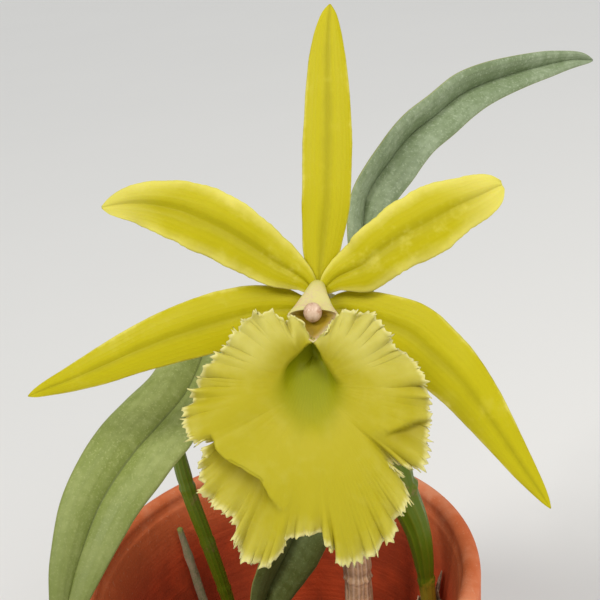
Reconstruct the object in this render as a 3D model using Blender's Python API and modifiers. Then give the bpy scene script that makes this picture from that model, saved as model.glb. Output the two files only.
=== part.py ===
"""A fringed-lip orchid in bloom, growing in a terracotta pot.

The plant is drawn in millimetres round the pot's axis, with the table at height 0, and an empty
called stand carries everything to the part's own origin, which is below the middle of the whole
plant. The flower is drawn in its own frame: u to its right, v up, w out towards whoever faces it.
"""
import math

import bmesh
import bpy
import numpy as np
from mathutils import Matrix, Vector, noise

MM = 0.001
GAP = 0.3                        # clearance kept between neighbouring pieces, mm

# the whole plant's middle, seen from the pot's axis, mm
STAND_X, STAND_Y = -38.8, -0.7

# pot, mm
POT_HEIGHT = 150.0
POT_RIM_RADIUS = 80.0
POT_FOOT_RADIUS = 52.0
POT_WALL = 7.2
POT_FLOOR = 8.0
COLLAR_HEIGHT = 28.0
COLLAR_STEP = 4.6
DRAIN_RADIUS = 7.5
POT_STEPS = 40

# potting bark, mm
BARK_TOP = 70.0
BARK_LUMP = 2.2
BARK_RECESS_RADIUS = 11.0
BARK_RECESS_HEIGHT = 5.0

# flower, mm and degrees
FLOWER_CENTRE = (29.5, -32.1, 278.0)
FLOWER_LOOKS_UP = 25.0
FLOWER_ROLL = 8.0
SEPAL_THICK = 1.5
PETAL_THICK = 1.1
LIP_THICK = 0.9
LIP_CENTRE = (-1.9, -24.4)
LIP_BACK_CENTRE = (0.0, -8.4)
LIP_BACK_RADIUS = 4.2
LIP_BACK_DEPTH = 3.0
LIP_MOUTH_DEPTH = 25.0
LIP_SPLIT = 3.0                  # half the gap between the two front edges, degrees

# lip margin: degrees round from straight down (left is positive), radius in mm
LIP_MARGIN = [
    (177, 12.8), (172, 17.0), (168, 20.6), (162, 21.4), (156, 19.0), (151, 24.6), (139, 27.2),
    (129, 26.5), (114, 27.4), (99, 30.8), (85, 34.8), (74, 38.6), (67, 37.5), (61, 33.0),
    (55, 38.5), (44, 44.0), (31, 44.6), (24, 52.5), (15, 54.0), (10, 44.5), (3, 42.0), (-5, 43.0),
    (-11, 52.4), (-20, 50.5), (-32, 45.0), (-42, 40.5), (-49, 30.5), (-56, 37.5), (-69, 36.0),
    (-85, 33.4), (-101, 30.2), (-114, 26.2), (-130, 26.4), (-142, 26.8), (-150, 24.0),
    (-160, 23.0), (-166, 17.0), (-177, 12.8)]
# folds that run out to the lip's margin: degrees, half width in degrees, height in mm
LIP_FOLDS = [
    (146, 9, 2.0), (118, 10, -2.2), (92, 12, 2.4), (66, 9, 3.0), (47, 10, -3.6), (27, 8, 2.6),
    (12, 6, -2.0), (-2, 8, 1.6), (-17, 7, -1.5), (-34, 9, 2.6), (-49, 6, -3.6), (-64, 9, 3.0),
    (-88, 11, -1.6), (-112, 11, 2.4), (-138, 10, -1.4)]


# ---------------------------------------------------------------- helpers

def clear_scene():
    for old in list(bpy.data.objects):
        bpy.data.objects.remove(old, do_unlink=True)


def collection(name):
    group = bpy.data.collections.new(name)
    bpy.context.scene.collection.children.link(group)
    return group


def make_material(name, color, roughness, metallic=0.0):
    material = bpy.data.materials.new(name)
    material.use_nodes = True
    shader = material.node_tree.nodes["Principled BSDF"]
    shader.inputs["Base Color"].default_value = (*color, 1.0)
    shader.inputs["Roughness"].default_value = roughness
    shader.inputs["Metallic"].default_value = metallic
    return material


def add_object(name, data, group, parent, material=None):
    piece = bpy.data.objects.new(name, data)
    group.objects.link(piece)
    piece.parent = parent
    if material:
        data.materials.append(material)
    return piece


def smooth_edges(mesh, degrees=40.0):
    mesh.shade_smooth()
    mesh.set_sharp_from_angle(angle=math.radians(degrees))


def smooth_path(points, count):
    """Evenly spaced points on a smooth curve through the given ones."""
    control = np.array(points, dtype=float)
    ends = np.vstack([2 * control[0] - control[1], control, 2 * control[-1] - control[-2]])
    dense = []
    for i in range(1, len(ends) - 2):
        a, b, c, d = ends[i - 1:i + 3]
        for t in np.linspace(0.0, 1.0, 24, endpoint=False):
            dense.append(0.5 * (2 * b + (c - a) * t + (2 * a - 5 * b + 4 * c - d) * t ** 2
                                + (3 * b - a - 3 * c + d) * t ** 3))
    dense = np.array(dense + [control[-1]])
    length = np.concatenate([[0.0], np.cumsum(np.linalg.norm(np.diff(dense, axis=0), axis=1))])
    wanted = np.linspace(0.0, length[-1], count)
    return np.column_stack([np.interp(wanted, length, dense[:, k]) for k in range(3)])


def along(table, t):
    """A value read from a short table of (position, value) pairs."""
    return float(np.interp(t, [row[0] for row in table], [row[1] for row in table]))


def sheet(name, columns, rows, place, thickness, material, group, parent, closed=False):
    """A thin grown sheet: a grid laid on a surface, thickened evenly to both sides."""
    bm = bmesh.new()
    bmesh.ops.create_grid(bm, x_segments=columns, y_segments=rows, size=0.5)
    for vert in bm.verts:
        vert.co = Vector(place(vert.co.x + 0.5, vert.co.y + 0.5)) * MM
    if closed:
        bmesh.ops.remove_doubles(bm, verts=bm.verts, dist=1e-6)
    mesh = bpy.data.meshes.new(name)
    bm.to_mesh(mesh)
    bm.free()
    smooth_edges(mesh, 60.0)
    piece = add_object(name, mesh, group, parent, material)
    solid = piece.modifiers.new("thickness", 'SOLIDIFY')
    solid.thickness = thickness * MM
    solid.offset = 0.0
    return piece


def tube(name, path, radii, material, group, parent, count=14, resolution=2):
    """A stem or root: a curve with a bevel, turned into one closed mesh."""
    points = smooth_path(path, count)
    curve = bpy.data.curves.new(name, 'CURVE')
    curve.dimensions = '3D'
    curve.bevel_depth = MM
    curve.bevel_resolution = resolution
    curve.use_fill_caps = True
    spline = curve.splines.new('POLY')
    spline.points.add(count - 1)
    for i, (point, target) in enumerate(zip(points, spline.points)):
        target.co = (*(point * MM), 1.0)
        target.radius = along(radii, i / (count - 1))
    drawn = add_object(name + "_line", curve, group, parent)
    bpy.context.view_layer.update()
    graph = bpy.context.evaluated_depsgraph_get()
    mesh = bpy.data.meshes.new_from_object(drawn.evaluated_get(graph))
    bpy.data.objects.remove(drawn, do_unlink=True)
    bm = bmesh.new()
    bm.from_mesh(mesh)
    bmesh.ops.remove_doubles(bm, verts=bm.verts, dist=1e-6)
    bmesh.ops.recalc_face_normals(bm, faces=bm.faces)
    bm.to_mesh(mesh)
    bm.free()
    mesh.name = name
    mesh.materials.clear()
    smooth_edges(mesh, 50.0)
    return add_object(name, mesh, group, parent, material)


def turned(name, profile, steps, material, group, parent):
    """A pot-like body turned round +Z from a profile of (radius, height) points."""
    bm = bmesh.new()
    verts = [bm.verts.new((r * MM, 0.0, z * MM)) for r, z in profile]
    for first, second in zip(verts, verts[1:]):
        bm.edges.new((first, second))
    if profile[0][0] > 0.0:
        bm.edges.new((verts[-1], verts[0]))
    mesh = bpy.data.meshes.new(name)
    bm.to_mesh(mesh)
    bm.free()
    piece = add_object(name, mesh, group, parent, material)
    screw = piece.modifiers.new("turn", 'SCREW')
    screw.steps = steps
    screw.render_steps = steps
    screw.use_merge_vertices = True
    screw.merge_threshold = 1e-6
    screw.use_smooth_shade = True
    return piece


def arc(centre, radius, start, end, count):
    """Points of a circular arc in the (radius, height) plane, angles in degrees."""
    angles = np.radians(np.linspace(start, end, count))
    return [(centre[0] + radius * math.cos(a), centre[1] + radius * math.sin(a)) for a in angles]


def cut(piece, cutter):
    cutter.hide_render = True
    cutter.display_type = 'WIRE'
    boolean = piece.modifiers.new("cut_" + cutter.name, 'BOOLEAN')
    boolean.operation = 'DIFFERENCE'
    boolean.solver = 'EXACT'
    boolean.object = cutter


# ---------------------------------------------------------------- pot and bark

def inner_radius(height):
    """Radius of the pot's inner wall at a height above the table."""
    foot = POT_FOOT_RADIUS - POT_WALL + 1.7
    top = POT_RIM_RADIUS - POT_WALL - 1.3
    share = (height - POT_FLOOR) / (POT_HEIGHT - 8.0 - POT_FLOOR)
    return foot + (top - foot) * share


def make_pot(group, stand):
    lip = POT_WALL / 2
    rim = (POT_RIM_RADIUS - lip, POT_HEIGHT - lip)
    collar_foot = POT_HEIGHT - COLLAR_HEIGHT
    profile = arc(rim, lip, 90, 0, 5)
    profile += [(POT_RIM_RADIUS - 1.2, collar_foot + 1.5), (POT_RIM_RADIUS - 2.2, collar_foot),
                (POT_RIM_RADIUS - 1.2 - COLLAR_STEP, collar_foot - 1.5),
                (POT_FOOT_RADIUS + 1.0, 1.6), (POT_FOOT_RADIUS - 0.8, 0.0),
                (DRAIN_RADIUS, 0.0), (DRAIN_RADIUS, POT_FLOOR)]
    profile += arc((inner_radius(POT_FLOOR) - 4.0, POT_FLOOR + 4.0), 4.0, -90, -10, 4)
    step = POT_HEIGHT - 8.0
    profile += [(inner_radius(step), step), (POT_RIM_RADIUS - POT_WALL, step + 1.4)]
    profile += arc(rim, lip, 180, 112, 4)
    terracotta = make_material("terracotta", (0.80, 0.27, 0.10), 0.85)
    return turned("pot", profile, POT_STEPS, terracotta, group, stand)


def make_bark(group, cutters, stand):
    top, foot = BARK_TOP, POT_FLOOR + GAP
    wall = [(inner_radius(z) - 1.0, z) for z in (top - 3.0, 40.0, foot + 7.0)]
    profile = [(0.0, top)]
    profile += [(r, top) for r in np.linspace(0, wall[0][0] - 3.0, 8)[1:]]
    profile += wall
    profile += [(inner_radius(foot) - 6.0, foot), (BARK_RECESS_RADIUS, foot),
                (BARK_RECESS_RADIUS - 2.0, foot + BARK_RECESS_HEIGHT),
                (0.0, foot + BARK_RECESS_HEIGHT)]
    bark_color = make_material("bark", (0.20, 0.10, 0.05), 0.95)
    draft = turned("bark_draft", profile, 32, bark_color, group, stand)
    bpy.context.view_layer.update()
    graph = bpy.context.evaluated_depsgraph_get()
    mesh = bpy.data.meshes.new_from_object(draft.evaluated_get(graph))
    bpy.data.objects.remove(draft, do_unlink=True)
    mesh.name = "potting_bark"
    for vert in mesh.vertices:
        if vert.co.z > (top - 1.0) * MM:
            vert.co.z += BARK_LUMP * MM * noise.noise(vert.co * 70.0)
    smooth_edges(mesh, 30.0)
    bark = add_object("potting_bark", mesh, group, stand)
    return bark


# ---------------------------------------------------------------- roots and stems

RHIZOME = [(-30, 17, 69), (-12, 9, 70), (14, 7, 70.5), (36, 5, 70), (52, 2, 69)]
ROOTS = {
    "root_wall": [(-30, 18, 71), (-33, 28, 74), *[(131, z) for z in (86, 98, 111, 125, 137)]],
    "root_front": [(-8, 3, 71), (-13, -12, 73.5), (-12, -28, 73), (-22, -40, 71), (-30, -43, 66)],
    "root_back": [(8, 13, 71), (10, 26, 74), (-2, 40, 73), (-18, 47, 69), (-24, 48, 64)],
    "root_right": [(40, -1.5, 71), (38, -16, 74), (28, -30, 73), (16, -40, 71), (4, -46, 66)],
    "root_far": [(46, 9, 71), (44, 22, 74), (34, 34, 73), (20, 40, 71), (12, 44, 66)],
}
ROOT_RADII = [(0, 1.9), (0.8, 1.8), (1, 1.1)]
ROOT_OFF_WALL = 3.3              # from the pot's inner wall to a clinging root's middle

BULB_LEFT = [(-23, 16, 75.2), (-23, 16.5, 100), (-24, 17, 121), (-28, 20, 151), (-32, 24, 175),
             (-34, 28, 200)]
BULB_FLOWERING = [(50, 2, 75.2), (55, 1.5, 90), (59, 0.5, 108), (59, -1, 126), (58, -2, 151),
                  (56, -0.5, 164), (52, 1, 178), (47, 1, 205), (43, 1, 232), (42, 2, 246)]
BULB_OLD = [(27, 6.5, 76), (30, 6.5, 100), (31, 6.5, 121), (32, 8, 138), (32, 10, 155),
            (31, 11, 164)]
YOUNG_STEM = [(-13, 6.5, 76), (-16, 0, 92), (-16.5, -6, 108), (-13, -8.5, 124)]
FLOWER_STALK = [(41.2, -1.2, 247.6), (41, -2.5, 256), (37, -6, 263.5), (32, -14.5, 269.9),
                (29.7, -27.0, 275.6)]


def make_roots(group, cutters, stand, bark):
    velamen = make_material("velamen", (0.62, 0.62, 0.52), 0.9)
    wood = make_material("rhizome_skin", (0.30, 0.27, 0.13), 0.8)
    tube("rhizome", RHIZOME, [(0, 3.4), (0.3, 4.6), (0.6, 4.4), (1, 4.0)], wood, group, stand)
    grooves = {"rhizome": (RHIZOME, [(0, 3.8), (0.3, 5.0), (0.6, 4.8), (1, 4.4)])}
    for name, route in ROOTS.items():
        lifted = clear_of_rhizome([root_point(*point) for point in route])
        tube(name, lifted, ROOT_RADII, velamen, group, stand)
        if name != "root_wall":
            grooves[name] = (lifted, [(at, r + GAP + 0.2) for at, r in ROOT_RADII])
    for name, (route, radii) in grooves.items():
        longer = list(route) if name == "rhizome" else stretched(route)
        cut(bark, tube("groove_" + name, longer, radii, None, cutters, stand))


def root_point(x, y, z=None):
    """A point of a root: three coordinates, or a bearing and a height on the pot's inner wall."""
    if z is not None:
        return x, y, z
    reach = inner_radius(y) - ROOT_OFF_WALL
    return reach * math.cos(math.radians(x)), reach * math.sin(math.radians(x)), y


def clear_of_rhizome(route):
    """Start a root just off the rhizome's skin instead of at its middle."""
    start, following = Vector(route[0]), Vector(route[1])
    away = (following - start).normalized()
    return [tuple(start + away * 5.6)] + list(route[1:])


def stretched(route):
    """The same route with its far end run on, so that a groove is open past the tip."""
    last, before = Vector(route[-1]), Vector(route[-2])
    return list(route[:-1]) + [tuple(last + (last - before).normalized() * 1.5)]


def make_stems(group, stand):
    green = make_material("bulb_green", (0.20, 0.33, 0.09), 0.5)
    old = make_material("papery_tan", (0.72, 0.56, 0.45), 0.85)
    fresh = make_material("young_green", (0.33, 0.45, 0.12), 0.5)
    stalk = make_material("stalk_green", (0.50, 0.58, 0.14), 0.5)
    left = [(0, 3.2), (0.1, 2.5), (0.5, 2.7), (0.85, 3.0), (1, 2.2)]
    right = [(0, 3.6), (0.15, 2.7), (0.35, 3.2), (0.5, 5.0), (0.62, 6.9), (0.75, 6.6),
             (0.92, 4.3), (1, 2.8)]
    tube("bulb_left", BULB_LEFT, left, green, group, stand, count=16)
    tube("bulb_flowering", BULB_FLOWERING, right, green, group, stand, count=22, resolution=3)
    tube("bulb_old", BULB_OLD, [(0, 4.6), (0.3, 5.3), (0.8, 5.4), (1, 4.2)], old, group, stand,
         resolution=3)
    tube("young_growth", YOUNG_STEM, [(0, 4.2), (0.4, 5.2), (1, 4.6)], fresh, group, stand,
         count=8, resolution=3)
    tube("flower_stalk", FLOWER_STALK, [(0, 1.7), (0.45, 1.9), (0.85, 3.1), (1, 4.0)], stalk,
         group, stand, count=12)


def frame_at(points, i, facing):
    """Tangent, sideways and facing directions of a path at one of its points."""
    ahead = points[min(i + 1, len(points) - 1)]
    behind = points[max(i - 1, 0)]
    tangent = Vector(ahead - behind).normalized()
    side = tangent.cross(Vector(facing)).normalized()
    return tangent, side, side.cross(tangent)


def sleeve(name, path, radii, wrap, wall, material, group, stand, columns=12, rows=3):
    """A papery sheath wrapped round a stem, open along one side when wrap is under 360."""
    points = smooth_path(path, rows + 1)
    full = wrap >= 360.0

    def place(around, up):
        i = round(up * rows)
        tangent, side, front = frame_at(points, i, (0.0, -1.0, 0.2))
        angle = math.radians(-wrap / 2 + wrap * around)
        r = along(radii, up)
        return Vector(points[i]) + (front * math.cos(angle) + side * math.sin(angle)) * r

    return sheet(name, columns, rows, place, wall, material, group, stand, closed=full)


def make_sheaths(group, stand):
    paper = make_material("papery_sheath", (0.55, 0.40, 0.25), 0.9)
    fresh = make_material("green_sheath", (0.42, 0.50, 0.20), 0.6)
    sleeve("sheath_right", [(58.6, 0.6, 106), (59.1, -0.6, 121)], [(0, 4.0), (0.6, 4.3), (1, 4.6)],
           360, 0.7, paper, group, stand)
    sleeve("sheath_left", [(-23, 16.1, 79), (-23.1, 16.6, 97)], [(0, 3.9), (0.5, 3.7), (1, 3.6)],
           360, 0.7, paper, group, stand)
    sleeve("sheath_young", [(-15.4, 2, 86.5), (-16.6, -4.5, 103)], [(0, 6.2), (0.6, 6.5), (1, 6.9)],
           360, 0.8, fresh, group, stand)
    sleeve("flower_sheath", [(41.1, -1.7, 250.6), (40.5, -3.2, 258.0)],
           [(0, 2.7), (0.5, 3.1), (1, 3.4)], 300, 0.6, fresh, group, stand)
    sleeve("husk_right", [(58.5, 11, 100), (60.5, 10.5, 112), (62.8, 9.5, 123)],
           [(0, 2.3), (0.6, 2.7), (1, 3.1)], 190, 0.7, paper, group, stand)


# ---------------------------------------------------------------- leaves

LEAF_LEFT = [(-34.5, 28.6, 203), (-31, 31, 215), (-23.5, 31, 228), (-16.5, 24.5, 236),
             (-15.5, 13, 238), (-22, 0, 232.5), (-32, -9.5, 227), (-42, -18, 221.5),
             (-53.5, -30, 212), (-62, -42.5, 199.5), (-67, -51.5, 189), (-72, -60, 177)]
LEAF_RIGHT = [(44.6, 6.8, 249), (46.5, 12, 258), (49, 20, 274), (53, 29, 288), (64, 38, 298),
              (73, 45, 304), (83, 51, 308), (94, 59, 312), (105, 65, 314), (120, 73, 314.5),
              (135, 81, 314), (148, 87, 313), (157, 91, 311)]
LEAF_YOUNG = [(-11.4, -8.6, 127.2), (-6, -8, 142), (1, -7, 155), (8, -6, 167), (16, -4, 180),
              (23, -1, 193), (28, 2, 204)]


def leaf(name, path, halves, facings, fold, thickness, material, group, stand,
         columns=6, rows=18):
    """A leathery leaf: two flat halves that meet in a crease along the midrib."""
    points = smooth_path(path, rows + 1)

    def place(across, up):
        i = round(up * rows)
        facing = [along([(at, value[k]) for at, value in facings], up) for k in range(3)]
        tangent, side, front = frame_at(points, i, facing)
        s = 2 * across - 1
        half = along(halves, up)
        slope = math.radians(along(fold, up))
        belly = 0.10 * half * math.sin(math.pi * abs(s))
        offset = side * (s * half * math.cos(slope))
        offset += front * (abs(s) * half * math.sin(slope) + belly)
        return Vector(points[i]) + offset

    return sheet(name, columns, rows, place, thickness, material, group, stand)


def make_leaves(group, stand):
    leather = make_material("leaf_green", (0.16, 0.25, 0.11), 0.55)
    leaf("leaf_left", LEAF_LEFT,
         [(0, 2.2), (0.08, 4.5), (0.2, 10), (0.34, 14), (0.5, 15.5), (0.62, 14.8), (0.74, 12.6),
          (0.85, 9.0), (0.93, 5.2), (1, 0.8)],
         [(0, (0.0, 0.9, 0.1)), (0.14, (-0.2, 0.75, 0.6)), (0.27, (0.05, 0.25, 1.0)),
          (0.42, (0.1, -0.3, 0.95)), (0.6, (0.2, -0.6, 0.75)), (1, (0.35, -0.75, 0.5))],
         [(0, 55), (0.2, 30), (0.5, 17), (1, 24)], 1.8, leather, group, stand)
    leaf("leaf_right", LEAF_RIGHT,
         [(0, 2.0), (0.06, 4.6), (0.18, 10.5), (0.35, 12.2), (0.6, 11), (0.85, 7), (0.95, 4),
          (1, 0.8)],
         [(0, (0.1, -0.9, 0.4)), (0.3, (0.3, -0.95, 0.2)), (1, (0.2, -0.85, 0.35))],
         [(0, 60), (0.2, 44), (0.6, 42), (1, 45)], 1.8, leather, group, stand)
    leaf("leaf_young", LEAF_YOUNG,
         [(0, 3.8), (0.2, 9.0), (0.45, 13.5), (0.65, 13.5), (0.85, 8.5), (1, 1)],
         [(0, (0.3, -0.95, 0.3)), (1, (0.55, -0.8, 0.2))],
         [(0, 55), (0.3, 30), (1, 25)], 1.7, leather, group, stand, rows=12)


# ---------------------------------------------------------------- flower

# spine points (u, v, w), then half widths on the two sides as (share of length, mm)
DORSAL = [(0.3, 5.6, -1.0), (1.1, 15.5, -1.0), (2.6, 31, -1.0), (3.1, 49.5, -2.0),
          (3.2, 63, -3.0), (3.1, 76, -4.0), (3.4, 86, -5.0), (4.0, 94.2, -6.0)]
DORSAL_HALF = [(0, 2.6), (0.1, 5.6), (0.28, 7.6), (0.5, 7.8), (0.66, 7.1), (0.8, 5.9), (0.9, 4.3),
               (0.96, 2.6), (1, 0.8)]
PETAL_LEFT = [(-5.2, 6.6, 2.0), (-12.4, 11.2, 3.0), (-19.5, 16, 4.0), (-28, 21.2, 5.0),
              (-35.2, 24.6, 5.0), (-43.1, 27.8, 4.0), (-53, 29.9, 2.0), (-60.7, 30.2, -1.0),
              (-68.2, 29.5, -4.0)]
PETAL_LEFT_HALF = [(0, 3.2), (0.12, 7.7), (0.25, 9.0), (0.4, 9.8), (0.5, 10.5), (0.63, 9.3),
                   (0.78, 7.4), (0.9, 4.8), (1, 1.2)]
PETAL_RIGHT = [(6.2, 6.9, 2.0), (13.8, 10.8, 3.0), (20, 15.8, 4.0), (28, 20.9, 5.0),
               (35.3, 24.8, 5.0), (42.1, 28.6, 4.0), (48.9, 31.7, 3.0), (57, 35.6, 2.0)]
PETAL_RIGHT_HALF = [(0, 3.4), (0.14, 8.2), (0.28, 9.2), (0.45, 10.2), (0.6, 10.8), (0.74, 8.7),
                    (0.87, 7.1), (0.95, 5.4), (1, 3.0)]
LATERAL_LEFT = [(-4.6, -2.6, -2.4), (-11.1, -2.8, -2.4), (-20.2, -3.8, -2.2), (-28.8, -6, -1.6),
                (-38.3, -8.8, -1.0), (-47.7, -12, -1.0), (-57.2, -15.8, -1.0),
                (-67.1, -20.3, -2.0), (-77.8, -24.9, -4.0), (-85.9, -28, -6.0),
                (-92.6, -30.7, -8.0)]
LATERAL_LEFT_HALF = [(0, 2.8), (0.08, 7.0), (0.18, 8.6), (0.28, 9.4), (0.38, 9.0), (0.5, 8.1),
                     (0.6, 7.0), (0.72, 5.7), (0.84, 3.8), (0.93, 2.3), (1, 0.8)]
LATERAL_RIGHT = [(4.8, -3.0, -2.4), (8.8, -3.0, -2.4), (15.8, -4.9, -2.2), (23.4, -7.8, -1.6),
                 (29.8, -11, -1.0), (37.8, -18, -1.0), (44.8, -25.1, -1.0), (50.9, -32.7, -2.0),
                 (57.6, -42, -3.0), (64.6, -52.1, -5.0), (70.6, -60.4, -7.0),
                 (74.7, -66.6, -8.0)]
LATERAL_RIGHT_HALF = [(0, 2.8), (0.06, 6.4), (0.14, 8.3), (0.22, 9.6), (0.3, 10.4), (0.4, 9.9),
                      (0.5, 8.6), (0.6, 7.5), (0.72, 5.7), (0.84, 3.9), (0.93, 2.2), (1, 0.8)]


def flower_blade(name, spine, halves, cup, wave, thickness, material, group, flower, rows=16):
    """A sepal or petal: a spine with a width on each side, cupped and waved across."""
    points = smooth_path(spine, rows + 1)

    def place(across, up):
        i = round(up * rows)
        tangent, side, front = frame_at(points, i, (0.0, 0.0, 1.0))
        s = 2 * across - 1
        half = along(halves, up)
        lift = cup * half * s * s + wave * abs(s) ** 3 * math.sin(11.0 * up + 2.0 * s)
        return Vector(points[i]) + side * (s * half) + front * lift

    return sheet(name, 4, rows, place, thickness, material, group, flower)


def margin_radius(angle):
    """Radius of the lip's margin at an angle round from straight down."""
    table = sorted(LIP_MARGIN)
    return float(np.interp(angle, [row[0] for row in table], [row[1] for row in table]))


def fold_height(angle, share):
    """Height of the radial folds, which grow from the throat to the margin."""
    total = sum(h * math.exp(-((angle - at) / wide) ** 2) for at, wide, h in LIP_FOLDS)
    return total * share ** 1.6


def lip_point(around, outward):
    """A point of the lip: a short tube below the column that opens into a broad blade."""
    angle = -180.0 + LIP_SPLIT + (360.0 - 2 * LIP_SPLIT) * around
    turn = math.radians(angle)
    mouth = 8.6 + 3.6 * math.cos(turn) ** 2 + 1.0 * math.sin(turn)
    mouth_share = 0.3 + 0.66 * math.exp(-((180.0 - abs(angle)) / 9.0) ** 2)
    inside = min(outward / mouth_share, 1.0)
    beyond = max(0.0, (outward - mouth_share) / (1.0 - mouth_share))
    centre = [a + (b - a) * inside for a, b in zip(LIP_BACK_CENTRE, LIP_CENTRE)]
    radius = LIP_BACK_RADIUS + (mouth - LIP_BACK_RADIUS) * inside
    radius += (margin_radius(angle) - mouth) * beyond
    depth = LIP_BACK_DEPTH + (LIP_MOUTH_DEPTH - LIP_BACK_DEPTH) * math.sin(inside * math.pi / 2)
    depth += 6.5 * math.sin(min(beyond * 1.6, 1.0) * math.pi / 2) - 2.5 * beyond ** 2
    depth += fold_height(angle, beyond)
    return (centre[0] - radius * math.sin(turn), centre[1] - radius * math.cos(turn), depth)


def make_flower(group, stand):
    flower = bpy.data.objects.new("flower_frame", None)
    group.objects.link(flower)
    flower.parent = stand
    tilt = Matrix.Rotation(math.radians(90.0 - FLOWER_LOOKS_UP), 4, 'X')
    roll = Matrix.Rotation(math.radians(-FLOWER_ROLL), 4, 'Z')
    flower.matrix_local = Matrix.Translation(Vector(FLOWER_CENTRE) * MM) @ tilt @ roll

    yellow = make_material("sepal_yellow", (0.66, 0.60, 0.05), 0.55)
    pale = make_material("petal_yellow", (0.72, 0.66, 0.14), 0.55)
    cream = make_material("lip_cream", (0.76, 0.70, 0.22), 0.55)
    column = make_material("column_cream", (0.80, 0.74, 0.45), 0.5)
    anther = make_material("anther_pink", (0.80, 0.66, 0.58), 0.5)
    flower_blade("dorsal_sepal", DORSAL, DORSAL_HALF, -0.12, 0.0, SEPAL_THICK, yellow, group, flower)
    flower_blade("lateral_sepal_left", LATERAL_LEFT, LATERAL_LEFT_HALF, -0.12, 0.0, SEPAL_THICK,
                 yellow, group, flower)
    flower_blade("lateral_sepal_right", LATERAL_RIGHT, LATERAL_RIGHT_HALF, -0.12, 0.0,
                 SEPAL_THICK, yellow, group, flower)
    flower_blade("petal_left", PETAL_LEFT, PETAL_LEFT_HALF, 0.06, 0.9, PETAL_THICK, pale,
                 group, flower)
    flower_blade("petal_right", PETAL_RIGHT, PETAL_RIGHT_HALF, 0.06, 0.9, PETAL_THICK, pale,
                 group, flower)
    sheet("lip", 72, 7, lip_point, LIP_THICK, cream, group, flower)
    tube("column", [(0.0, 2.6, -2.0), (-0.4, 2.0, 5.0), (-1.2, 0.0, 14.0), (-1.8, -3.0, 22.0)],
         [(0, 2.9), (0.3, 3.2), (0.75, 4.8), (0.95, 5.4), (1, 4.6)], column, group, flower,
         count=8, resolution=3)
    tube("anther_cap", [(-1.9, -3.6, 22.6), (-2.0, -4.2, 24.6), (-2.0, -4.5, 25.6)],
         [(0, 3.0), (0.5, 3.2), (1, 1.2)], anther, group, flower, count=5, resolution=3)


def main():
    clear_scene()
    group = collection("potted_orchid")
    cutters = collection("cutters")
    stand = bpy.data.objects.new("stand", None)
    group.objects.link(stand)
    stand.location = (STAND_X * MM, STAND_Y * MM, 0.0)
    make_pot(group, stand)
    bark = make_bark(group, cutters, stand)
    make_roots(group, cutters, stand, bark)
    make_stems(group, stand)
    make_sheaths(group, stand)
    make_leaves(group, stand)
    make_flower(group, stand)


main()
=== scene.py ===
"""Looks of a fringed-lip orchid in bloom, growing in a terracotta pot.

Lengths of the plant are drawn in millimetres round the pot's axis, with the table at height 0. The
flower is drawn in its own frame: u to its right, v up, w out towards whoever faces it.
"""
import math

import bpy
import numpy as np
from bpy.props import FloatProperty, FloatVectorProperty, IntProperty, PointerProperty
from mathutils import Matrix, Vector, noise


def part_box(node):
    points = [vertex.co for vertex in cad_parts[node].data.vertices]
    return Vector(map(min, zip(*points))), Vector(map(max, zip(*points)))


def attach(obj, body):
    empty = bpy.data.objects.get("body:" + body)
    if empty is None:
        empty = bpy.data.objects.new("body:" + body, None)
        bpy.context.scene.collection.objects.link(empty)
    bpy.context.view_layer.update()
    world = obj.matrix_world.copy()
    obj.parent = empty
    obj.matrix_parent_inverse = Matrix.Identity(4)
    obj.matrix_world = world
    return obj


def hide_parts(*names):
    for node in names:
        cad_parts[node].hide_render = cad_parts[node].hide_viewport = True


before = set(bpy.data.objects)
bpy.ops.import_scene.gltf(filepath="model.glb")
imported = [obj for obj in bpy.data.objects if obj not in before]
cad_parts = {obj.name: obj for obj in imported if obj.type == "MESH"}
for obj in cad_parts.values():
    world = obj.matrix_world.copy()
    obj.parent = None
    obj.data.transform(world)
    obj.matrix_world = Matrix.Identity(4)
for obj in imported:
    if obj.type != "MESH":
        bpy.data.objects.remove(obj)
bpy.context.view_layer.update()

bl_info = {
    "name": "Potted Orchid",
    "version": (1, 0, 0),
    "blender": (4, 5, 0),
    "location": "View3D > Sidebar > Orchid",
    "description": "Builds a fringed-lip orchid in bloom in a terracotta pot",
    "category": "Object",
}

MM = 0.001
POT_LOW, POT_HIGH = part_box("pot")
POT_AXIS = ((POT_LOW[0] + POT_HIGH[0]) / 2, (POT_LOW[1] + POT_HIGH[1]) / 2)
POT_TOP = POT_HIGH[2] / MM
POT_RADIUS = (POT_HIGH[0] - POT_LOW[0]) / 2 / MM

# where the flower's middle is, how far it looks up and how far it leans, in degrees
FLOWER_CENTRE = (29.5, -32.1, 278.0)
FLOWER_LOOKS_UP = 25.0
FLOWER_ROLL = 8.0

# how many places a smooth path or a short table is read at
FINE = 241


# ---------------------------------------------------------------- settings

def colour(name, description, default):
    return FloatVectorProperty(name=name, description=description, default=default,
                               subtype='COLOR', min=0.0, max=1.0)


def length(name, description, default):
    return FloatProperty(name=name, description=description, default=default, unit='LENGTH',
                         subtype='DISTANCE', precision=4)


class PotSettings(bpy.types.PropertyGroup):
    wall: length("Wall", "Thickness of the pot's wall at its rim", 0.0072)
    foot_radius: length("Foot radius", "Radius of the pot's foot", 0.052)
    collar: length("Collar", "Height of the band below the rim", 0.028)
    clay: colour("Clay", "Colour of the dry clay outside", (0.78, 0.165, 0.038))
    # painted shade: the darker colour given to the clay inside the pot stands in for the shadow
    # there
    damp: colour("Damp clay", "Colour of the damp clay inside", (0.66, 0.080, 0.014))
    bloom: colour("Lime bloom", "Colour of the chalky bloom on the clay", (0.80, 0.46, 0.28))
    chips: IntProperty(name="Bark chips", description="Number of loose chips of bark",
                       default=230, min=10, max=600)
    bark: colour("Bark", "Colour of the potting bark", (0.14, 0.062, 0.028))


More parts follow.
